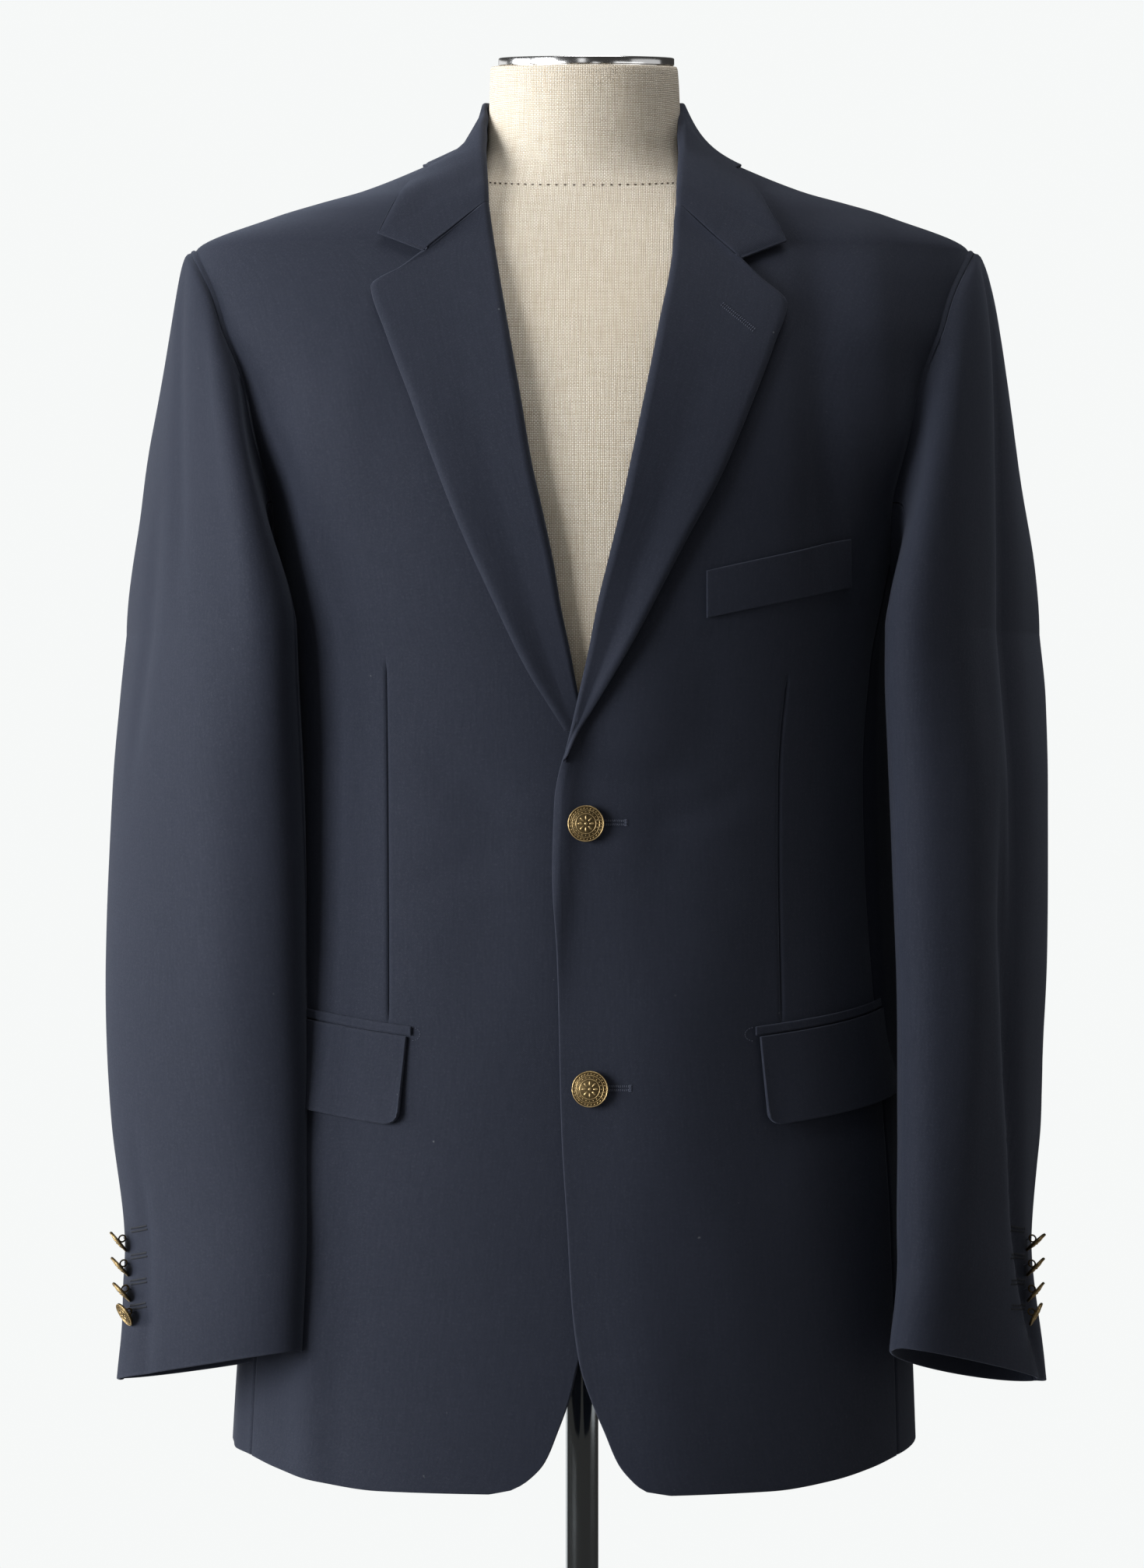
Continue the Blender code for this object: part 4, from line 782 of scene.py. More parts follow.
# ---------------------------------------------------------------- sleeves
def tube_point(side, z, turn):
    """Points of a sleeve's level section: turn 0 is its outer hind edge, 90 degrees its outer face."""
    name = side_name(side)
    heading = np.radians(read(SLEEVE_ROWS, name + "_turn", z))
    along = read(SLEEVE_ROWS, "major", z) * np.cos(turn)
    across = read(SLEEVE_ROWS, "minor", z) * np.sin(turn)
    x = read(SLEEVE_ROWS, name + "_x", z) + along * np.cos(heading) + across * np.sin(heading)
    y = read(SLEEVE_ROWS, "y", z) + along * np.sin(heading) - across * np.cos(heading)
    return stack(side * x, y, z)


def sleeve_point(side, step, turn):
    """Points of a sleeve: step 0 to 1 runs from the armhole to the tube's top, 1 to 2 down to the cuff."""
    step, turn = np.broadcast_arrays(step, turn)
    cuff = CUFF_Z - CUFF_DROP[side] * np.cos(turn) - CUFF_HANG[side] * np.maximum(-np.sin(turn), 0.0)
    down = tube_point(side, mix(SLEEVE_TUBE_TOP, cuff, np.maximum(step - 1, 0)), turn)
    z, angle = armhole_point(turn)
    seam = section_point(BODY, z, side * angle) + np.array([side * HEAD_GAP, 0, 0])
    tube = tube_point(side, np.full_like(turn, SLEEVE_TUBE_TOP), turn)
    leaving = seam + stack(side * HEAD_OUT[side], HEAD_BULGE * np.cos(turn), 0.0)
    arriving = tube + stack(0.0, 0.0, HEAD_RISE * (seam - tube)[..., 2])
    t = np.clip(step, 0, 1)[..., None]
    head = (1 - t) ** 3 * seam + 3 * (1 - t) ** 2 * t * leaving + 3 * (1 - t) * t * t * arriving + t**3 * tube
    return np.where((step > 1)[..., None], down, head)


def sleeve_surface(side, step, turn, height):
    d = 0.004
    below, above = np.minimum(step + d, 2), np.maximum(step - d, 0)
    along = sleeve_point(side, below, turn) - sleeve_point(side, above, turn)
    around = sleeve_point(side, step, turn + d) - sleeve_point(side, step, turn - d)
    return sleeve_point(side, step, turn) - unit(np.cross(around, along)) * side * height[..., None]


def tucked_ring(side, turn, share):
    """Points under the body's edge, beside the armhole seam, where the sleeve's allowance lies."""
    reach = TUCK * share
    z = ARMHOLE_Z + (ARMHOLE_HALF_HEIGHT + reach) * np.sin(turn)
    angle = angle_at_depth(z, (ARMHOLE_HALF_DEPTH + reach) * np.cos(turn))
    return body_point(z, side * angle, -TUCK_DEPTH)


def make_sleeve(side, piece, first, last, wool):
    """Half of a sleeve's tube, between the turns of its two seams."""
    head = shares(0.200, SLEEVE_GRID, (0.0010, 0.0022, 0.0040))
    tube = 1 + shares(SLEEVE_TUBE_TOP - CUFF_Z, SLEEVE_GRID)[1:]
    step = np.concatenate([head, tube])[:, None]
    gap = SEAM / read(SLEEVE_ROWS, "minor", SLEEVE_TUBE_TOP)
    turn = mix(first + gap, last - gap, shares(0.20, GRID))[None, :]
    z = sleeve_point(side, step, turn)[..., 2]
    creased = folded(SLEEVE_FOLDS[side], np.degrees(turn) / 1000, z) * eased(step, 0.0, 0.25)
    to_seam = np.minimum(turn - first, last - turn) * SLEEVE_SEAM_RADIUS
    soft = np.where(np.abs(turn - math.pi) < 0.6, 0.35, 1.0)  # the fore seam shows less
    dip = seam_dip(to_seam) * eased(step, 0.03, 0.1) * soft
    roping = ROPING * np.exp(-(((step - 0.035) / 0.03) ** 2)) * eased(np.sin(turn), 0.0, 0.7)
    surface = sleeve_surface(side, step, turn, creased + dip + roping - WALL / 2)
    points = np.concatenate([tucked_ring(side, turn, 1.0), tucked_ring(side, turn, 0.35), surface])
    sew(piece + side_name(side), points, wool)


def make_sleeves(side, wool):
    hind, fore = armhole_turn(HIND_LEVEL, 1), armhole_turn(FORE_LEVEL, -1)
    make_sleeve(side, "sleeve_top_", hind, fore, wool)
    make_sleeve(side, "sleeve_under_", fore, hind + 2 * math.pi, wool)


# ---------------------------------------------------------------- pockets
def patch(name, z, angle, side, thickness, wool, lift=0.0):
    """A piece lying on a front, over the front's own points."""
    points = body_point(z, angle, front_relief(side, z, angle) + ON_PANEL + thickness / 2 + lift)
    sew(name, points, wool, thickness)


def make_welt(wool):
    """The breast pocket's welt, higher towards the arm."""
    t = shares(0.090, FINE_GRID)[None, :]
    up = shares(0.028, FINE_GRID)[:, None]
    x = mix(WELT_INNER_X, WELT_OUTER_X, t)
    z = mix(mix(*WELT_INNER_Z, up), mix(*WELT_OUTER_Z, up), t)
    patch("breast_welt", z, angle_at_x(z, x), LEFT, WELT_WALL, wool)


def pocket_angle(side, share, x, z):
    return mix(angle_at_x(z, side * x), side * FLAP_END, share)


def make_pocket(side, wool):
    """A flap with a rounded lower front corner, and the jet above it."""
    name = side_name(side)
    share = shares(FLAP_LENGTH, FINE_GRID)[None, :]
    level = shares(FLAP_DEPTH, FINE_GRID)[::-1, None]
    before_corner = FLAP_CORNER - np.minimum(share * FLAP_LENGTH, FLAP_CORNER)
    lift = FLAP_CORNER - np.sqrt(FLAP_CORNER**2 - before_corner**2)
    top = FLAP_TOP_Z + FLAP_RISE * share
    z = mix(top, top - FLAP_DEPTH + lift, level)
    angle = pocket_angle(side, share, mix(FLAP_TOP_X, FLAP_FOOT_X, level), z)
    hanging = FLAP_HANG * level**2 + FLAP_END_HANG * np.exp(-share / 0.03) * level
    patch("flap_" + name, z, angle, side, FLAP_WALL, wool, hanging)
    z = top + JET_GAP + JET_HEIGHT * np.linspace(0, 1, 6)[:, None]
    angle = pocket_angle(side, share, FLAP_TOP_X - JET_OVERHANG, z)
    patch("jet_" + name, z, angle, side, JET_WALL, wool)


# ---------------------------------------------------------------- threads
Stitch = namedtuple("Stitch", "place along out length width")


def make_stitches(name, stitches, material):
    """Many short threads as one mesh: each a spindle of six sides, flattened on the cloth."""
    around = np.radians(np.arange(0, 360, 60))
    stops, swells = (-0.5, -0.34, 0.0, 0.34, 0.5), (0.25, 0.8, 1.0, 0.8, 0.25)
    count = len(around)
    vertices, faces = [], []
    for stitch in stitches:
        along = stitch.along.normalized()
        side = along.cross(stitch.out).normalized()
        out = side.cross(along)
        base = len(vertices)
        for stop, swell in zip(stops, swells):
            centre = stitch.place + along * stop * stitch.length
            for turn in around:
                reach = side * math.cos(turn) + out * 0.7 * math.sin(turn)
                vertices.append(tuple(centre + reach * swell * stitch.width / 2))
        last = base + (len(stops) - 1) * count
        for ring in range(base, last, count):
            for k in range(count):
                here, after = ring + k, ring + (k + 1) % count
                faces.append((here, after, after + count, here + count))
        faces += [tuple(range(base + count - 1, base - 1, -1)), tuple(range(last, last + count))]
    settle(mesh_object(name, vertices, faces, material))


def seen_from(obj, start, direction):
    """Where a line meets a piece, and which way the surface faces there."""
    found, place, normal, _ = obj.ray_cast(Vector(start), Vector(direction))
    if not found:
        raise RuntimeError(obj.name + " isn't in the way of " + str(tuple(start)))
    return place, normal


def on_front(obj, x, z):
    return seen_from(obj, (x, -0.5, z), (0, 1, 0))


def wool_piece(name):
    return bpy.data.objects["wool_" + name]


def upright(flat):
    """A direction (x, z) on the front, in space."""
    return Vector((flat.x, 0, flat.y))


def buttonhole(obj, start, end, spread, pitch=0.0011, width=0.0007, bar=False):
    """Purl stitches down both lips of a slit between two (x, z) places, and a bar across its far end."""
    start, end = Vector(start), Vector(end)
    length = (end - start).length
    ahead = (end - start) / length
    aside = Vector((-ahead.y, ahead.x))
    stitches = []
    for k in range(round(length / pitch) + 1):
        middle = start + ahead * k * pitch
        for lip in (-1, 1):
            place, out = on_front(obj, *(middle + aside * lip * spread))
            across = upright(aside) + upright(ahead) * 0.25 * lip
            stitches.append(Stitch(place + out * THREAD_RISE, across, out, spread * 1.35, width))
    for k in range(-2, 3) if bar else ():
        place, out = on_front(obj, *(end + aside * k * spread * 0.75 + ahead * 0.0006))
        stitches.append(Stitch(place + out * THREAD_RISE * 2, upright(ahead), out, 0.0020, width))
    return stitches


def make_buttonholes(thread, dark_thread):
    """Two in the left front, one in the left lapel, and four on each cuff."""
    stitches = []
    for x, z in FRONT_BUTTONS.values():
        start = (x + FRONT_BUTTON_RADIUS * 0.6, z + FRONT_HOLE_RISE)
        end = (x + FRONT_BUTTON_RADIUS + FRONT_HOLE_PAST, z + FRONT_HOLE_RISE)
        stitches += buttonhole(wool_piece("front_left"), start, end, 0.0011, bar=True)
    make_stitches("front_buttonholes", stitches, thread)
    stitches = buttonhole(wool_piece("lapel_left"), *LAPEL_HOLE, 0.0009, 0.0013)
    make_stitches("lapel_buttonhole", stitches, thread)
    for side in (LEFT, RIGHT):
        sleeve = wool_piece("sleeve_top_" + side_name(side))
        near, far = CUFF_HOLE_X[side]
        stitches = []
        for z in CUFF_HOLES:
            stitches += buttonhole(sleeve, (near, z), (far, z + CUFF_HOLE_SLOPE), 0.0011, 0.0010, 0.0011)
        # the cuff buttonholes use the near-black thread, its darkness partly painted shade along the stitches
        make_stitches("cuff_buttonholes_" + side_name(side), stitches, dark_thread)


def make_tacks(thread):
    """A half-moon of stitches at the inner end of each hip pocket."""
    for side in (LEFT, RIGHT):
        front = wool_piece("front_" + side_name(side))
        stitches = []
        for turn in np.radians(range(-80, 81, 20)):
            x, z = side * (TACK_X - TACK_WIDTH * math.cos(turn)), TACK_Z + TACK_HEIGHT * math.sin(turn)
            place, out = on_front(front, x, z)
            along = Vector((side * math.sin(turn), 0, math.cos(turn)))
            stitches.append(Stitch(place + out * THREAD_RISE, along, out, 0.0010, 0.0005))
        make_stitches("pocket_tack_" + side_name(side), stitches, thread)


def neck_seam_height(angle):
    return NECK_SEAM_SIDE_Z - NECK_SEAM_DIP * np.cos(angle)


def make_neck_seam(thread):
    """The stitched line where the form's neck piece joins its shoulders."""
    stitches = []
    for angle in np.linspace(0, 2 * math.pi, 116, endpoint=False):
        place, ahead = (
            Vector(section_point(FORM, neck_seam_height(turn), turn)) for turn in (angle, angle + 0.02)
        )
        out = Vector((place.x, place.y, 0)).normalized()
        stitches.append(Stitch(place + out * THREAD_RISE, ahead - place, out, 0.0017, 0.0009))
    make_stitches("neck_seam_stitches", stitches, thread)


# ---------------------------------------------------------------- hard pieces, modelled as by hand
def start_piece():
    if bpy.context.mode != "OBJECT":
        bpy.ops.object.mode_set(mode="OBJECT")
    bpy.ops.object.select_all(action="DESELECT")


def turned_piece(name, profile, segments, material):
    """A turned piece: a disc at the first (radius, height), then extruded and sized through the others."""
    start_piece()
    radius, height = profile[0]
    bpy.ops.mesh.primitive_circle_add(
        vertices=segments, radius=radius, fill_type="NGON", location=(0, 0, height)
    )
    obj = bpy.context.object
    obj.name = obj.data.name = name
    bpy.ops.object.mode_set(mode="EDIT")
    bpy.ops.mesh.select_all(action="SELECT")
    for after, level in profile[1:]:
        bpy.ops.mesh.extrude_region_move(TRANSFORM_OT_translate={"value": (0, 0, level - height)})
        if after != radius:
            ratio = after / radius
            bpy.ops.transform.resize(value=(ratio, ratio, 1), center_override=(0, 0, level))
        radius, height = after, level
    bpy.ops.mesh.select_all(action="SELECT")
    bpy.ops.mesh.normals_make_consistent(inside=False)
    bpy.ops.object.mode_set(mode="OBJECT")
    bpy.ops.object.transform_apply(location=True, rotation=True, scale=True)
    bpy.ops.object.shade_smooth_by_angle(angle=math.radians(50))
    obj.data.materials.append(material)
    return obj


def ring_piece(name, radius, thickness, height, material, segments=48, rotation=(0, 0, 0)):
    start_piece()
    bpy.ops.mesh.primitive_torus_add(
        major_radius=radius,
        minor_radius=thickness,
        major_segments=segments,
        minor_segments=8,
        location=(0, 0, height),
        rotation=rotation,
    )
    return named_piece(name, material)


def named_piece(name, material):
    obj = bpy.context.object
    obj.name = obj.data.name = name
    bpy.ops.object.transform_apply(location=True, rotation=True, scale=True)
    bpy.ops.object.shade_smooth()
    obj.data.materials.append(material)
    return obj


def beads(name, count, radius, height, size, material, turn=0.0):
    """Small raised beads round a ring, sized along, across and up, and turned from the ring's direction."""
    made = []
    for k in range(count):
        angle = 2 * math.pi * k / count
        start_piece()
        bpy.ops.mesh.primitive_uv_sphere_add(
            segments=8,
            ring_count=6,
            radius=1.0,
            location=(radius * math.cos(angle), radius * math.sin(angle), height),
            rotation=(0, 0, angle + math.pi / 2 + turn),
            scale=size,
        )
        made.append(named_piece(name, material))
    return made


def join_pieces(pieces, name):
    start_piece()
    for piece in pieces:
        piece.select_set(True)
    bpy.context.view_layer.objects.active = pieces[0]
    bpy.ops.object.join()
    obj = bpy.context.object
    obj.name = obj.data.name = name
    return obj


# A button's outline, in shares of its radius and thickness.
BUTTON_OUTLINE = (
    (0.55, 0.0),
    (0.90, 0.05),
    (0.985, 0.35),
    (1.0, 0.75),
    (0.985, 1.10),
    (0.93, 1.22),
    (0.89, 1.00),
    (0.80, 1.15),
    (0.60, 1.45),
    (0.35, 1.68),
    (0.12, 1.78),
)
# What stands on it: how many beads, or 0 for a wire ring, how far out and up they are, in the same shares,
# their size along, across and up in shares of the radius, and how far they turn, in degrees.
BUTTON_RELIEF = (
    (0, 0.955, 1.16, (0.036,), 0),
    (30, 0.845, 1.12, (0.066, 0.026, 0.036), 32),
    (0, 0.745, 1.28, (0.022,), 0),
    (20, 0.645, 1.42, (0.034, 0.034, 0.030), 0),
    (0, 0.545, 1.54, (0.026,), 0),
    (8, 0.315, 1.66, (0.060, 0.150, 0.045), 0),
    (1, 0.0, 1.80, (0.095, 0.095, 0.060), 0),
)


def model_button(name, radius, bright, dark, long_shank):
    """A domed button with its back at height 0: a rim, a rope, rings and a rosette, on a wire loop."""
    thick = radius * 0.16
    pieces = [turned_piece(name, [(radius * out, thick * up) for out, up in BUTTON_OUTLINE], 48, dark)]
    for count, out, up, size, turn in BUTTON_RELIEF:
        size = [radius * share for share in size]
        if count:
            pieces += beads(name, count, radius * out, thick * up, size, bright, math.radians(turn))
        else:
            pieces.append(ring_piece(name, radius * out, size[0], thick * up, bright))
    shank = ring_piece(name, radius * 0.24, radius * 0.062, -radius * 0.22, dark, 24, (0, math.pi / 2, 0))
    if long_shank:
        shank.data.transform(Matrix.Scale(1.15, 4, (0, 0, 1)))
    return join_pieces(pieces + [shank], name)


def set_button(model, name, place, facing):
    """A copy of the model with its own mesh, its back's middle at a place and its face along a direction."""
    obj = model.copy()
    obj.data = model.data.copy()
    obj.name = obj.data.name = "brass_" + name
    link(obj)
    facing = facing.normalized()
    across = Vector((0, 0, 1)).cross(facing).normalized()
    turned = Matrix((across, facing.cross(across), facing)).transposed().to_4x4()
    obj.data.transform(Matrix.Translation(place) @ turned)
    settle(obj, "button_" + name)


def make_front_buttons(bright, dark):
    """The two buttons on the left front."""
    model = model_button("front_button", FRONT_BUTTON_RADIUS, bright, dark, False)
    for name, (x, z) in FRONT_BUTTONS.items():
        place, out = on_front(wool_piece("front_left"), x, z)
        set_button(model, name, place + out * FRONT_BUTTON_OUT, out)
    bpy.data.objects.remove(model)


def make_cuff_buttons(bright, dark, thread):
    """Four buttons a cuff, with the threads that hold them."""
    model = model_button("cuff_button", CUFF_BUTTON_RADIUS, bright, dark, True)
    stems = []
    for side in (LEFT, RIGHT):
        name = side_name(side)
        for number, button in enumerate(CUFF_BUTTONS, 1):
            turn, droop = (math.radians(getattr(button, name + field)) for field in ("_degrees", "_droop"))
            place, before, after = (Vector(tube_point(side, button.z, turn + d)) for d in (0, -0.02, 0.02))
            around = after - before
            outward = Vector((around.y, -around.x, 0)).normalized() * -side
            share = button.right_facing if side == RIGHT else 0.5
            sideways = (outward * (1 - share) + Vector((side, 0, 0)) * share).normalized()
            facing = sideways * math.cos(droop) - Vector((0, 0, math.sin(droop)))
            back = place + outward * CUFF_BUTTON_OUT
            set_button(model, "cuff_%s_%d" % (name, number), back, facing)
            loop = back - facing.normalized() * CUFF_BUTTON_RADIUS * 0.36
            for aside in (-0.0007, 0.0007):
                start = place + around.normalized() * aside
                stems.append(Stitch((start + loop) / 2, loop - start, around, (loop - start).length, 0.0011))
    bpy.data.objects.remove(model)
    make_stitches("button_threads", stems, thread)


def radius_of(node):
    low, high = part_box(node)
    return (high.x - low.x) / 2


def make_cap(chrome):
    """The cap that closes the neck, tilted forwards with it."""
    radius, top = CAP_RADIUS, CAP_STAND + CAP_THICK
    outline = (
        (radius - 0.0030, -0.0010),
        (radius - 0.0030, CAP_STAND - 0.0004),
        (radius - 0.0004, CAP_STAND - 0.0003),
        (radius, CAP_STAND),
        (radius, top - 0.0006),
        (radius - 0.0002, top - 0.0002),
        (radius - 0.0006, top),
        (radius - 0.0040, top + 0.0001),
        (radius * 0.5, top + 0.0003),
    )
    cap = turned_piece("neck_cap", outline, 96, chrome)
    tilted_up = Vector((0, -NECK_TILT, 1)).normalized()
    foot = Vector((CAP_SHIFT, 0, FORM[-1].z)) + tilted_up * SEAM
    cap.data.transform(Matrix.Translation(foot) @ tilted_up.to_track_quat("Z", "Y").to_matrix().to_4x4())
    settle(cap, "form_neck_cap")


def make_pole(steel):
    low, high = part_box("form_pole")
    radius = radius_of("form_pole")
    outline = [(radius, level) for level in (low.z, 0.62, 0.80, high.z)]
    settle(turned_piece("stand_pole", outline, 64, steel), "form_pole")


def make_base(steel):
    """The round base, with the hub that holds the pole."""
    radius, top = radius_of("form_base"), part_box("form_base")[1].z
    hub = 0.021
    outline = (
        (radius - 0.0015, 0.0),
        (radius - 0.0003, 0.0006),
        (radius, 0.0020),
        (radius, 0.0060),
        (radius - 0.0007, 0.0074),
        (radius - 0.0022, 0.0080),
        (radius * 0.5, 0.0086),
        (hub + 0.0060, 0.0094),
        (hub + 0.0020, 0.0110),
        (hub, 0.0150),
        (hub, top - 0.0026),
        (hub - 0.0006, top - 0.0009),
        (hub - 0.0022, top),
        (radius_of("form_pole") + 0.0004, top),
    )
    settle(turned_piece("stand_base", outline, 128, steel), "form_base")


def close_seams(obj):
    """Joins the two edges of the seam down the back, and fills what is still open."""
    solid = bmesh.new()
    solid.from_mesh(obj.data)
    bmesh.ops.remove_doubles(solid, verts=solid.verts, dist=0.00001)
    bmesh.ops.holes_fill(solid, edges=solid.edges, sides=0)
    bmesh.ops.recalc_face_normals(solid, faces=solid.faces)
    solid.to_mesh(obj.data)
    solid.free()


def make_form(linen):
    """The padded, linen-covered torso and neck, seamed down the back and closed at both ends."""
    top = FORM[-1].z
    z = rows_between([row.z for row in FORM], 0.004)[:, None]
    angle = np.radians(np.linspace(-180, 180, 145))[None, :]
    rings = section_point(FORM, z, angle)
    sunk = NECK_SEAM_DEPTH * np.exp(-(((z - neck_seam_height(angle)) / NECK_SEAM_WIDTH) ** 2))
    rings = rings - unit(rings * [1, 1, 0]) * sunk[..., None]
    rings[..., 2] += NECK_TILT * eased(z, NECK_TILT_FROM, top) * rings[..., 1]
    rims = []  # where the linen turns in under the cap
    for share, rise in ((0.990, 0.0), (0.970, 0.0002), (0.92, -0.0004)):
        rim = rings[-1] * [share, share, 1]
        rim[:, 2] = top + NECK_TILT * rim[:, 1] + rise
        rims.append(rim)
    foot = rings[0] * [0.94, 0.94, 1]
    rings[-1, :, 2] -= 0.0014
    rings = np.stack([foot, *rings, *rims])
    index = np.arange(rings[..., 0].size).reshape(rings.shape[:2])
    obj = outward_mesh("linen_form", rings.reshape(-1, 3), quads(index), linen)
    set_cloth_uv(obj, cloth_places(rings, rings.shape[1] // 2).reshape(-1, 2))
    close_seams(obj)
    settle(obj, "form_torso")


# ---------------------------------------------------------------- shared effects
def plug(tree, socket, value):
    """Gives a socket a number, a colour, or what another node puts out."""
    if isinstance(value, tuple):
        socket.default_value = (*value, 1.0)
    elif isinstance(value, (int, float)):
        socket.default_value = value
    else:
        tree.links.new(value, socket)


def feed(tree, node, values):
    for label, value in values.items():
        plug(tree, node.inputs[label], value)


def new_group(name, inputs, *outputs):
    """A node group that puts out numbers. Inputs are {name: default}, a number or a place."""
    group = bpy.data.node_groups.new(name, "ShaderNodeTree")
    for label, default in inputs.items():
        kind = "NodeSocketFloat" if isinstance(default, float) else "NodeSocketVector"
        group.interface.new_socket(label, in_out="INPUT", socket_type=kind).default_value = default
    for label in outputs:
        group.interface.new_socket(label, in_out="OUTPUT", socket_type="NodeSocketFloat")
    return group, group.nodes.new("NodeGroupInput").outputs, group.nodes.new("NodeGroupOutput")


def math_node(tree, operation, *values):
    """A math node whose inputs are numbers or other nodes' sockets."""
    node = tree.nodes.new("ShaderNodeMath")
    node.operation = operation
    for socket, value in zip(node.inputs, values):
        plug(tree, socket, value)
    return node.outputs[0]


def noise_node(tree, vector, scale, detail, roughness=0.5):
    node = tree.nodes.new("ShaderNodeTexNoise")
    feed(tree, node, {"Vector": vector, "Scale": scale, "Detail": detail, "Roughness": roughness})
    return node.outputs["Fac"]


def ranged(tree, value, low, high, to_low=0.0, to_high=1.0):
    node = tree.nodes.new("ShaderNodeMapRange")
    span = {"From Min": low, "From Max": high, "To Min": to_low, "To Max": to_high}
    feed(tree, node, span | {"Value": value})
    return node.outputs["Result"]


def stretched_noise(tree, u, v, along_u, along_v, detail=2.0):
    """Noise whose grain is longer one way than the other: the two numbers are cycles in a metre."""
    join = tree.nodes.new("ShaderNodeCombineXYZ")
    plug(tree, join.inputs[0], math_node(tree, "MULTIPLY", u, along_u))
    plug(tree, join.inputs[1], math_node(tree, "MULTIPLY", v, along_v))
    return noise_node(tree, join.outputs[0], 1.0, detail)


def weave_group():
    """A plain weave. In: a place on the cloth in metres, the pitch of its threads, and how uneven they are.
    Out: the height of the threads, how much each thread differs in tone, and which one is on top."""
    inputs = {"Place": (0.0, 0.0, 0.0), "Pitch": 0.0006, "Uneven": 0.3}
    group, given, result = new_group("plain_weave", inputs, "Height", "Streaks", "Warp")
    split = group.nodes.new("ShaderNodeSeparateXYZ")
    plug(group, split.inputs[0], given["Place"])
    u, v = split.outputs[0], split.outputs[1]
    waves = []
    for place, cycles in ((u, (260.0, 30.0)), (v, (30.0, 260.0))):
        wander = ranged(group, stretched_noise(group, u, v, *cycles), 0.0, 1.0, -0.5, 0.5)
        threads = math_node(group, "DIVIDE", place, given["Pitch"])
        shifted = math_node(group, "ADD", threads, math_node(group, "MULTIPLY", wander, given["Uneven"]))
        waves.append(math_node(group, "SINE", math_node(group, "MULTIPLY", shifted, math.pi)))
    crossing = math_node(group, "MULTIPLY", *waves)
    height = math_node(group, "POWER", math_node(group, "ABSOLUTE", crossing), 0.5)
    warp = ranged(group, crossing, -0.15, 0.15)
    either = group.nodes.new("ShaderNodeMix")
    plug(group, either.inputs[0], warp)
    plug(group, either.inputs[2], stretched_noise(group, u, v, 55.0, 640.0, 3.0))
    plug(group, either.inputs[3], stretched_noise(group, u, v, 640.0, 55.0, 3.0))
    feed(group, result, {"Height": height, "Warp": warp, "Streaks": either.outputs[0]})
    return group


def mottle_group():
    """Uneven dye and lint. In: a place in metres. Out: a slow drift of tone, fine flecks, and rare specks."""
    group, given, result = new_group("mottle", {"Place": (0.0, 0.0, 0.0)}, "Drift", "Flecks", "Lint")
    drift, flecks, specks = (
        noise_node(group, given["Place"], *look) for look in ((9.0, 3.0), (900.0, 2.0, 0.7), (260.0, 1.0))
    )
    feed(group, result, {"Drift": drift, "Flecks": flecks, "Lint": ranged(group, specks, 0.82, 0.86)})
    return group


def worn_group():
    """Patina. In: a place in metres and how near the piece's edge is. Out: a broken-up mask of wear."""
    group, given, result = new_group("edge_wear", {"Place": (0.0, 0.0, 0.0), "Edge": 0.0}, "Wear")
    broken = ranged(group, noise_node(group, given["Place"], 240.0, 4.0, 0.6), 0.25, 0.75, 0.4, 1.0)
    plug(group, result.inputs["Wear"], math_node(group, "MULTIPLY", broken, given["Edge"]))
    return group


GROUPS = {"weave": weave_group(), "mottle": mottle_group(), "worn": worn_group()}


def add_group(tree, name, **values):
    node = tree.nodes.new("ShaderNodeGroup")
    node.node_tree = GROUPS[name]
    feed(tree, node, values)
    return node.outputs


def color_mix(tree, factor, first, second):
    """Two colours, or colour sockets, mixed by a number or a socket."""
    node = tree.nodes.new("ShaderNodeMix")
    node.data_type = "RGBA"
    for socket, value in zip((node.inputs[0], node.inputs[6], node.inputs[7]), (factor, first, second)):
        plug(tree, socket, value)
    return node.outputs[2]


def tinted(tree, base, color, mask, low, high, most=1.0):
    """A base mixed with a colour, more of it as a mask goes from low to high."""
    return color_mix(tree, ranged(tree, mask, low, high, 0.0, most), base, color)


def plain_material(name, roughness, metallic=0.0):
    material = bpy.data.materials.new(name)
    material.use_nodes = True
    shader = material.node_tree.nodes["Principled BSDF"]
    feed(material.node_tree, shader, {"Roughness": roughness, "Metallic": metallic})
    return material, material.node_tree, shader


def bump_into(tree, shader, height, strength, distance, under=None):
    bump = tree.nodes.new("ShaderNodeBump")
    feed(tree, bump, {"Strength": strength, "Distance": distance, "Height": height})
    if under is not None:
        plug(tree, bump.inputs["Normal"], under)
    plug(tree, shader.inputs["Normal"], bump.outputs["Normal"])
    return bump.outputs["Normal"]


def uv_place(tree):
    node = tree.nodes.new("ShaderNodeUVMap")
    node.uv_map = "cloth"
    return node.outputs["UV"]


def object_place(tree):
    return tree.nodes.new("ShaderNodeTexCoord").outputs["Object"]


def attribute_value(tree, name):
    node = tree.nodes.new("ShaderNodeAttribute")
    node.attribute_name = name
    return node.outputs["Fac"]


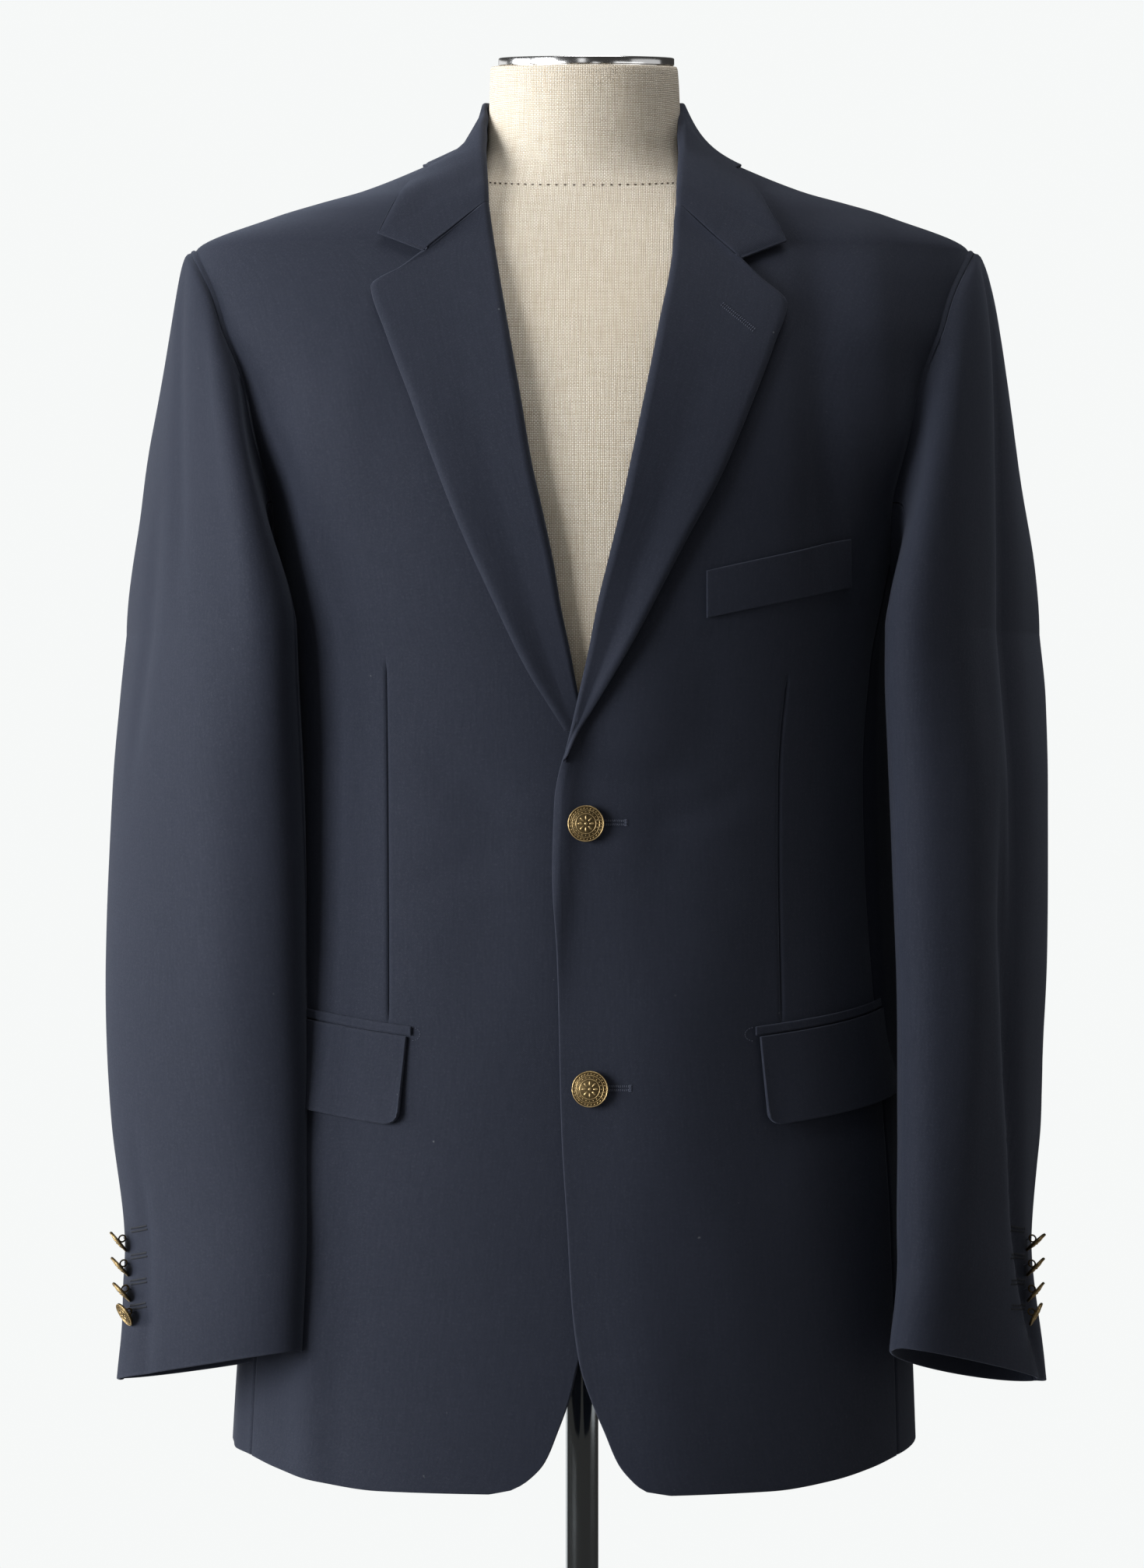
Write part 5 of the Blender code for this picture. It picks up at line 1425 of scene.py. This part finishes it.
def wool_material():
    """Navy suiting: a fine plain weave of two blues, a faint nap, and edges worn a little paler."""
    material, tree, shader = plain_material("navy_wool", 0.82)
    feed(tree, shader, {"Sheen Weight": 0.13, "Sheen Roughness": 0.45, "Sheen Tint": (0.55, 0.62, 0.80)})
    solid_place = object_place(tree)
    weave = add_group(tree, "weave", Place=uv_place(tree), Pitch=0.00056, Uneven=0.5)
    mottle = add_group(tree, "mottle", Place=solid_place)
    worn = add_group(tree, "worn", Place=solid_place, Edge=attribute_value(tree, "edge"))
    threads = color_mix(tree, weave["Warp"], (0.0108, 0.0136, 0.0246), (0.0163, 0.0192, 0.0307))
    streaked = tinted(tree, threads, (0.0089, 0.0117, 0.0205), weave["Streaks"], 0.25, 0.75)
    flecked = tinted(tree, streaked, (0.0277, 0.0316, 0.0467), mottle["Flecks"], 0.55, 0.85, 0.55)
    drifted = tinted(tree, flecked, (0.0158, 0.0183, 0.0305), mottle["Drift"], 0.3, 0.7, 0.22)
    rubbed = tinted(tree, drifted, (0.0270, 0.0300, 0.0443), worn["Wear"], 0.35, 1.0, 0.45)
    linted = color_mix(tree, math_node(tree, "MULTIPLY", mottle["Lint"], 0.35), rubbed, (0.18, 0.19, 0.20))
    rough = ranged(tree, mottle["Flecks"], 0.2, 0.8, 0.90, 0.74)
    feed(tree, shader, {"Base Color": linted, "Roughness": rough, "Specular IOR Level": 0.18})
    nap = bump_into(tree, shader, mottle["Flecks"], 0.25, 0.0003)
    bump_into(tree, shader, weave["Height"], 0.35, 0.00018, nap)
    return material


def linen_material():
    """Coarse natural linen: uneven threads, slubs, and painted shade, dark and warm, in the gaps between its
    threads.
    """
    material, tree, shader = plain_material("linen_cover", 0.93)
    weave = add_group(tree, "weave", Place=uv_place(tree), Pitch=0.00105, Uneven=1.1)
    mottle = add_group(tree, "mottle", Place=object_place(tree))
    threads = color_mix(tree, weave["Warp"], (0.74, 0.680, 0.570), (0.86, 0.820, 0.730))
    streaked = tinted(tree, threads, (0.50, 0.405, 0.280), weave["Streaks"], 0.40, 0.70, 0.55)
    # painted shade: where the weave is low, between the threads, the colour goes towards a dark warm brown
    gap_shade_share = ranged(tree, weave["Height"], 0.10, 0.70, 0.90, 0.0)
    shaded_gaps = color_mix(tree, gap_shade_share, streaked, (0.33, 0.225, 0.120))
    drifted = tinted(tree, shaded_gaps, (0.64, 0.53, 0.38), mottle["Drift"], 0.35, 0.7, 0.25)
    rough = ranged(tree, weave["Height"], 0.0, 1.0, 0.98, 0.86)
    feed(tree, shader, {"Base Color": drifted, "Roughness": rough})
    feed(tree, shader, {"Sheen Weight": 0.12, "Specular IOR Level": 0.2})
    slubs = bump_into(tree, shader, weave["Streaks"], 0.5, 0.0004)
    bump_into(tree, shader, weave["Height"], 0.8, 0.0005, slubs)
    return material


def thread_material(name, light, dark):
    """Twisted sewing thread."""
    material, tree, shader = plain_material(name, 0.6)
    twist = noise_node(tree, object_place(tree), 2600.0, 1.0)
    plug(tree, shader.inputs["Base Color"], tinted(tree, dark, light, twist, 0.35, 0.65))
    bump_into(tree, shader, twist, 0.3, 0.0001)
    return material


def brass_material(name, bright, dull, low, high):
    """Antiqued brass: patches of patina over the metal, rougher where it is dull."""
    material, tree, shader = plain_material(name, 0.35, 1.0)
    place = object_place(tree)
    patches = ranged(tree, noise_node(tree, place, 700.0, 4.0, 0.65), low, high)
    wear = add_group(tree, "worn", Place=place, Edge=patches)["Wear"]
    rough = ranged(tree, wear, 0.0, 1.0, 0.55, 0.26)
    feed(tree, shader, {"Base Color": color_mix(tree, wear, dull, bright), "Roughness": rough})
    bump_into(tree, shader, patches, 0.15, 0.0002)
    return material


def metal_material(name, color, dusty, roughness, high_roughness):
    """Polished metal with faint smears."""
    material, tree, shader = plain_material(name, roughness, 1.0)
    smears = add_group(tree, "mottle", Place=object_place(tree))["Drift"]
    rough = ranged(tree, smears, 0.3, 0.7, roughness, high_roughness)
    feed(tree, shader, {"Base Color": tinted(tree, color, dusty, smears, 0.35, 0.7), "Roughness": rough})
    return material


# ---------------------------------------------------------------- studio
def add_light(name, place, aim_height, size, power, color):
    """A soft box aimed at a height on the garment's middle. A card shows only where metal reflects it."""
    light = bpy.data.lights.new(name, "AREA")
    light.shape = "RECTANGLE"
    light.size, light.size_y = size
    light.energy = power
    light.color = color
    obj = link(bpy.data.objects.new(name, light))
    obj.visible_diffuse = not name.startswith("card")
    obj.location = place
    aim = Vector((0, 0, aim_height)) - Vector(place)
    obj.rotation_euler = aim.to_track_quat("-Z", "Y").to_euler()


def make_camera():
    """A camera level with the waist, 3 m in front."""
    camera = bpy.data.cameras.new("camera")
    camera.lens, camera.sensor_width = 115.3, 36
    obj = link(bpy.data.objects.new("camera", camera))
    obj.location = (-0.006, -3.0, 1.10)
    obj.rotation_euler = (math.pi / 2, 0, 0)
    bpy.context.scene.camera = obj


def make_floor():
    start_piece()
    bpy.ops.mesh.primitive_circle_add(vertices=96, radius=2.6, fill_type="NGON", location=(0, 0, 0))
    floor = bpy.context.object
    floor.name = "floor"
    material, tree, shader = plain_material("floor", 0.75)
    grain = noise_node(tree, object_place(tree), 30.0, 3.0)
    pale = tinted(tree, (0.60, 0.61, 0.61), (0.63, 0.64, 0.64), grain, 0.3, 0.7)
    seen = tree.nodes.new("ShaderNodeLightPath").outputs["Is Camera Ray"]
    plug(tree, shader.inputs["Base Color"], color_mix(tree, seen, (0.30, 0.30, 0.30), pale))
    floor.data.materials.append(material)


def make_world():
    """A pale backdrop, which lights the scene with a warmer and weaker glow."""
    world = bpy.data.worlds.new("studio")
    world.use_nodes = True
    bpy.context.scene.world = world
    tree = world.node_tree
    seen, lit = tree.nodes["Background"], tree.nodes.new("ShaderNodeBackground")
    path, blend = tree.nodes.new("ShaderNodeLightPath"), tree.nodes.new("ShaderNodeMixShader")
    feed(tree, seen, {"Color": (0.925, 0.940, 0.935)})
    glow = ranged(tree, path.outputs["Is Glossy Ray"], 0.0, 1.0, 0.160, 0.04)
    feed(tree, lit, {"Color": (1.0, 0.96, 0.91), "Strength": glow})
    for socket, value in zip(blend.inputs, (path.outputs["Is Camera Ray"], lit.outputs[0], seen.outputs[0])):
        plug(tree, socket, value)
    plug(tree, tree.nodes["World Output"].inputs["Surface"], blend.outputs[0])
    bpy.context.scene.view_settings.view_transform = "Standard"


def make_studio():
    """A camera, a large soft key from the wearer's right, and a pale floor and world."""
    make_camera()
    white, cool = (1.0, 1.0, 1.0), (0.97, 0.985, 1.0)
    add_light("key", (-2.80, -1.78, 1.45), 1.15, (1.6, 1.8), 170, cool)
    add_light("side", (-3.29, 0.29, 1.45), 1.15, (1.6, 1.8), 88, cool)
    add_light("top", (0.15, -0.3, 3.6), 1.2, (1.6, 1.6), 40, white)
    add_light("window", (-0.55, -5.2, 2.1), 1.5, (0.8, 1.6), 4, white)
    add_light("backdrop", (-1.9, 3.0, 1.1), 1.1, (2.6, 2.3), 16, white)
    add_light("wall", (3.3, -0.2, 1.35), 1.35, (3.2, 2.1), 11.0, white)
    add_light("card_left", (-1.9, -2.5, 1.3), 1.4, (0.9, 0.7), 9.0, white)
    add_light("card_right", (2.6, -1.6, 1.25), 1.4, (2.4, 0.8), 7.0, white)
    add_light("card_front", (0.7, -3.3, 1.3), 1.4, (0.5, 0.25), 0.6, white)
    make_floor()
    make_world()


def main():
    make_studio()
    wool, linen = wool_material(), linen_material()
    navy_thread = thread_material("navy_thread", (0.046, 0.055, 0.088), (0.014, 0.018, 0.032))
    # a near-black copy of the navy thread for the cuff buttonholes: the thread's own dark tone with painted
    # shade along the stitched lines
    dark_thread = thread_material("dark_thread", (0.005, 0.008, 0.016), (0.002, 0.003, 0.006))
    brown_thread = thread_material("brown_thread", (0.14, 0.10, 0.07), (0.05, 0.035, 0.025))
    bright = brass_material("antique_brass", (0.62, 0.45, 0.21), (0.26, 0.19, 0.10), 0.34, 0.60)
    dark = brass_material("brass_ground", (0.30, 0.21, 0.09), (0.07, 0.05, 0.025), 0.42, 0.75)
    chrome = metal_material("chrome", (0.86, 0.86, 0.86), (0.80, 0.80, 0.80), 0.14, 0.19)
    steel = metal_material("dark_steel", (0.50, 0.545, 0.565), (0.45, 0.49, 0.51), 0.07, 0.12)
    make_form(linen)
    make_cap(chrome)
    make_pole(steel)
    make_base(steel)
    for side in (LEFT, RIGHT):
        make_front(side, wool)
        make_side(side, wool)
        make_back(side, wool)
        make_lapel(side, wool)
        make_sleeves(side, wool)
        make_pocket(side, wool)
    make_collar(wool)
    make_welt(wool)
    bpy.context.view_layer.update()
    make_front_buttons(bright, dark)
    make_cuff_buttons(bright, dark, navy_thread)
    make_buttonholes(navy_thread, dark_thread)
    make_tacks(navy_thread)
    make_neck_seam(brown_thread)


main()
bpy.context.view_layer.update()
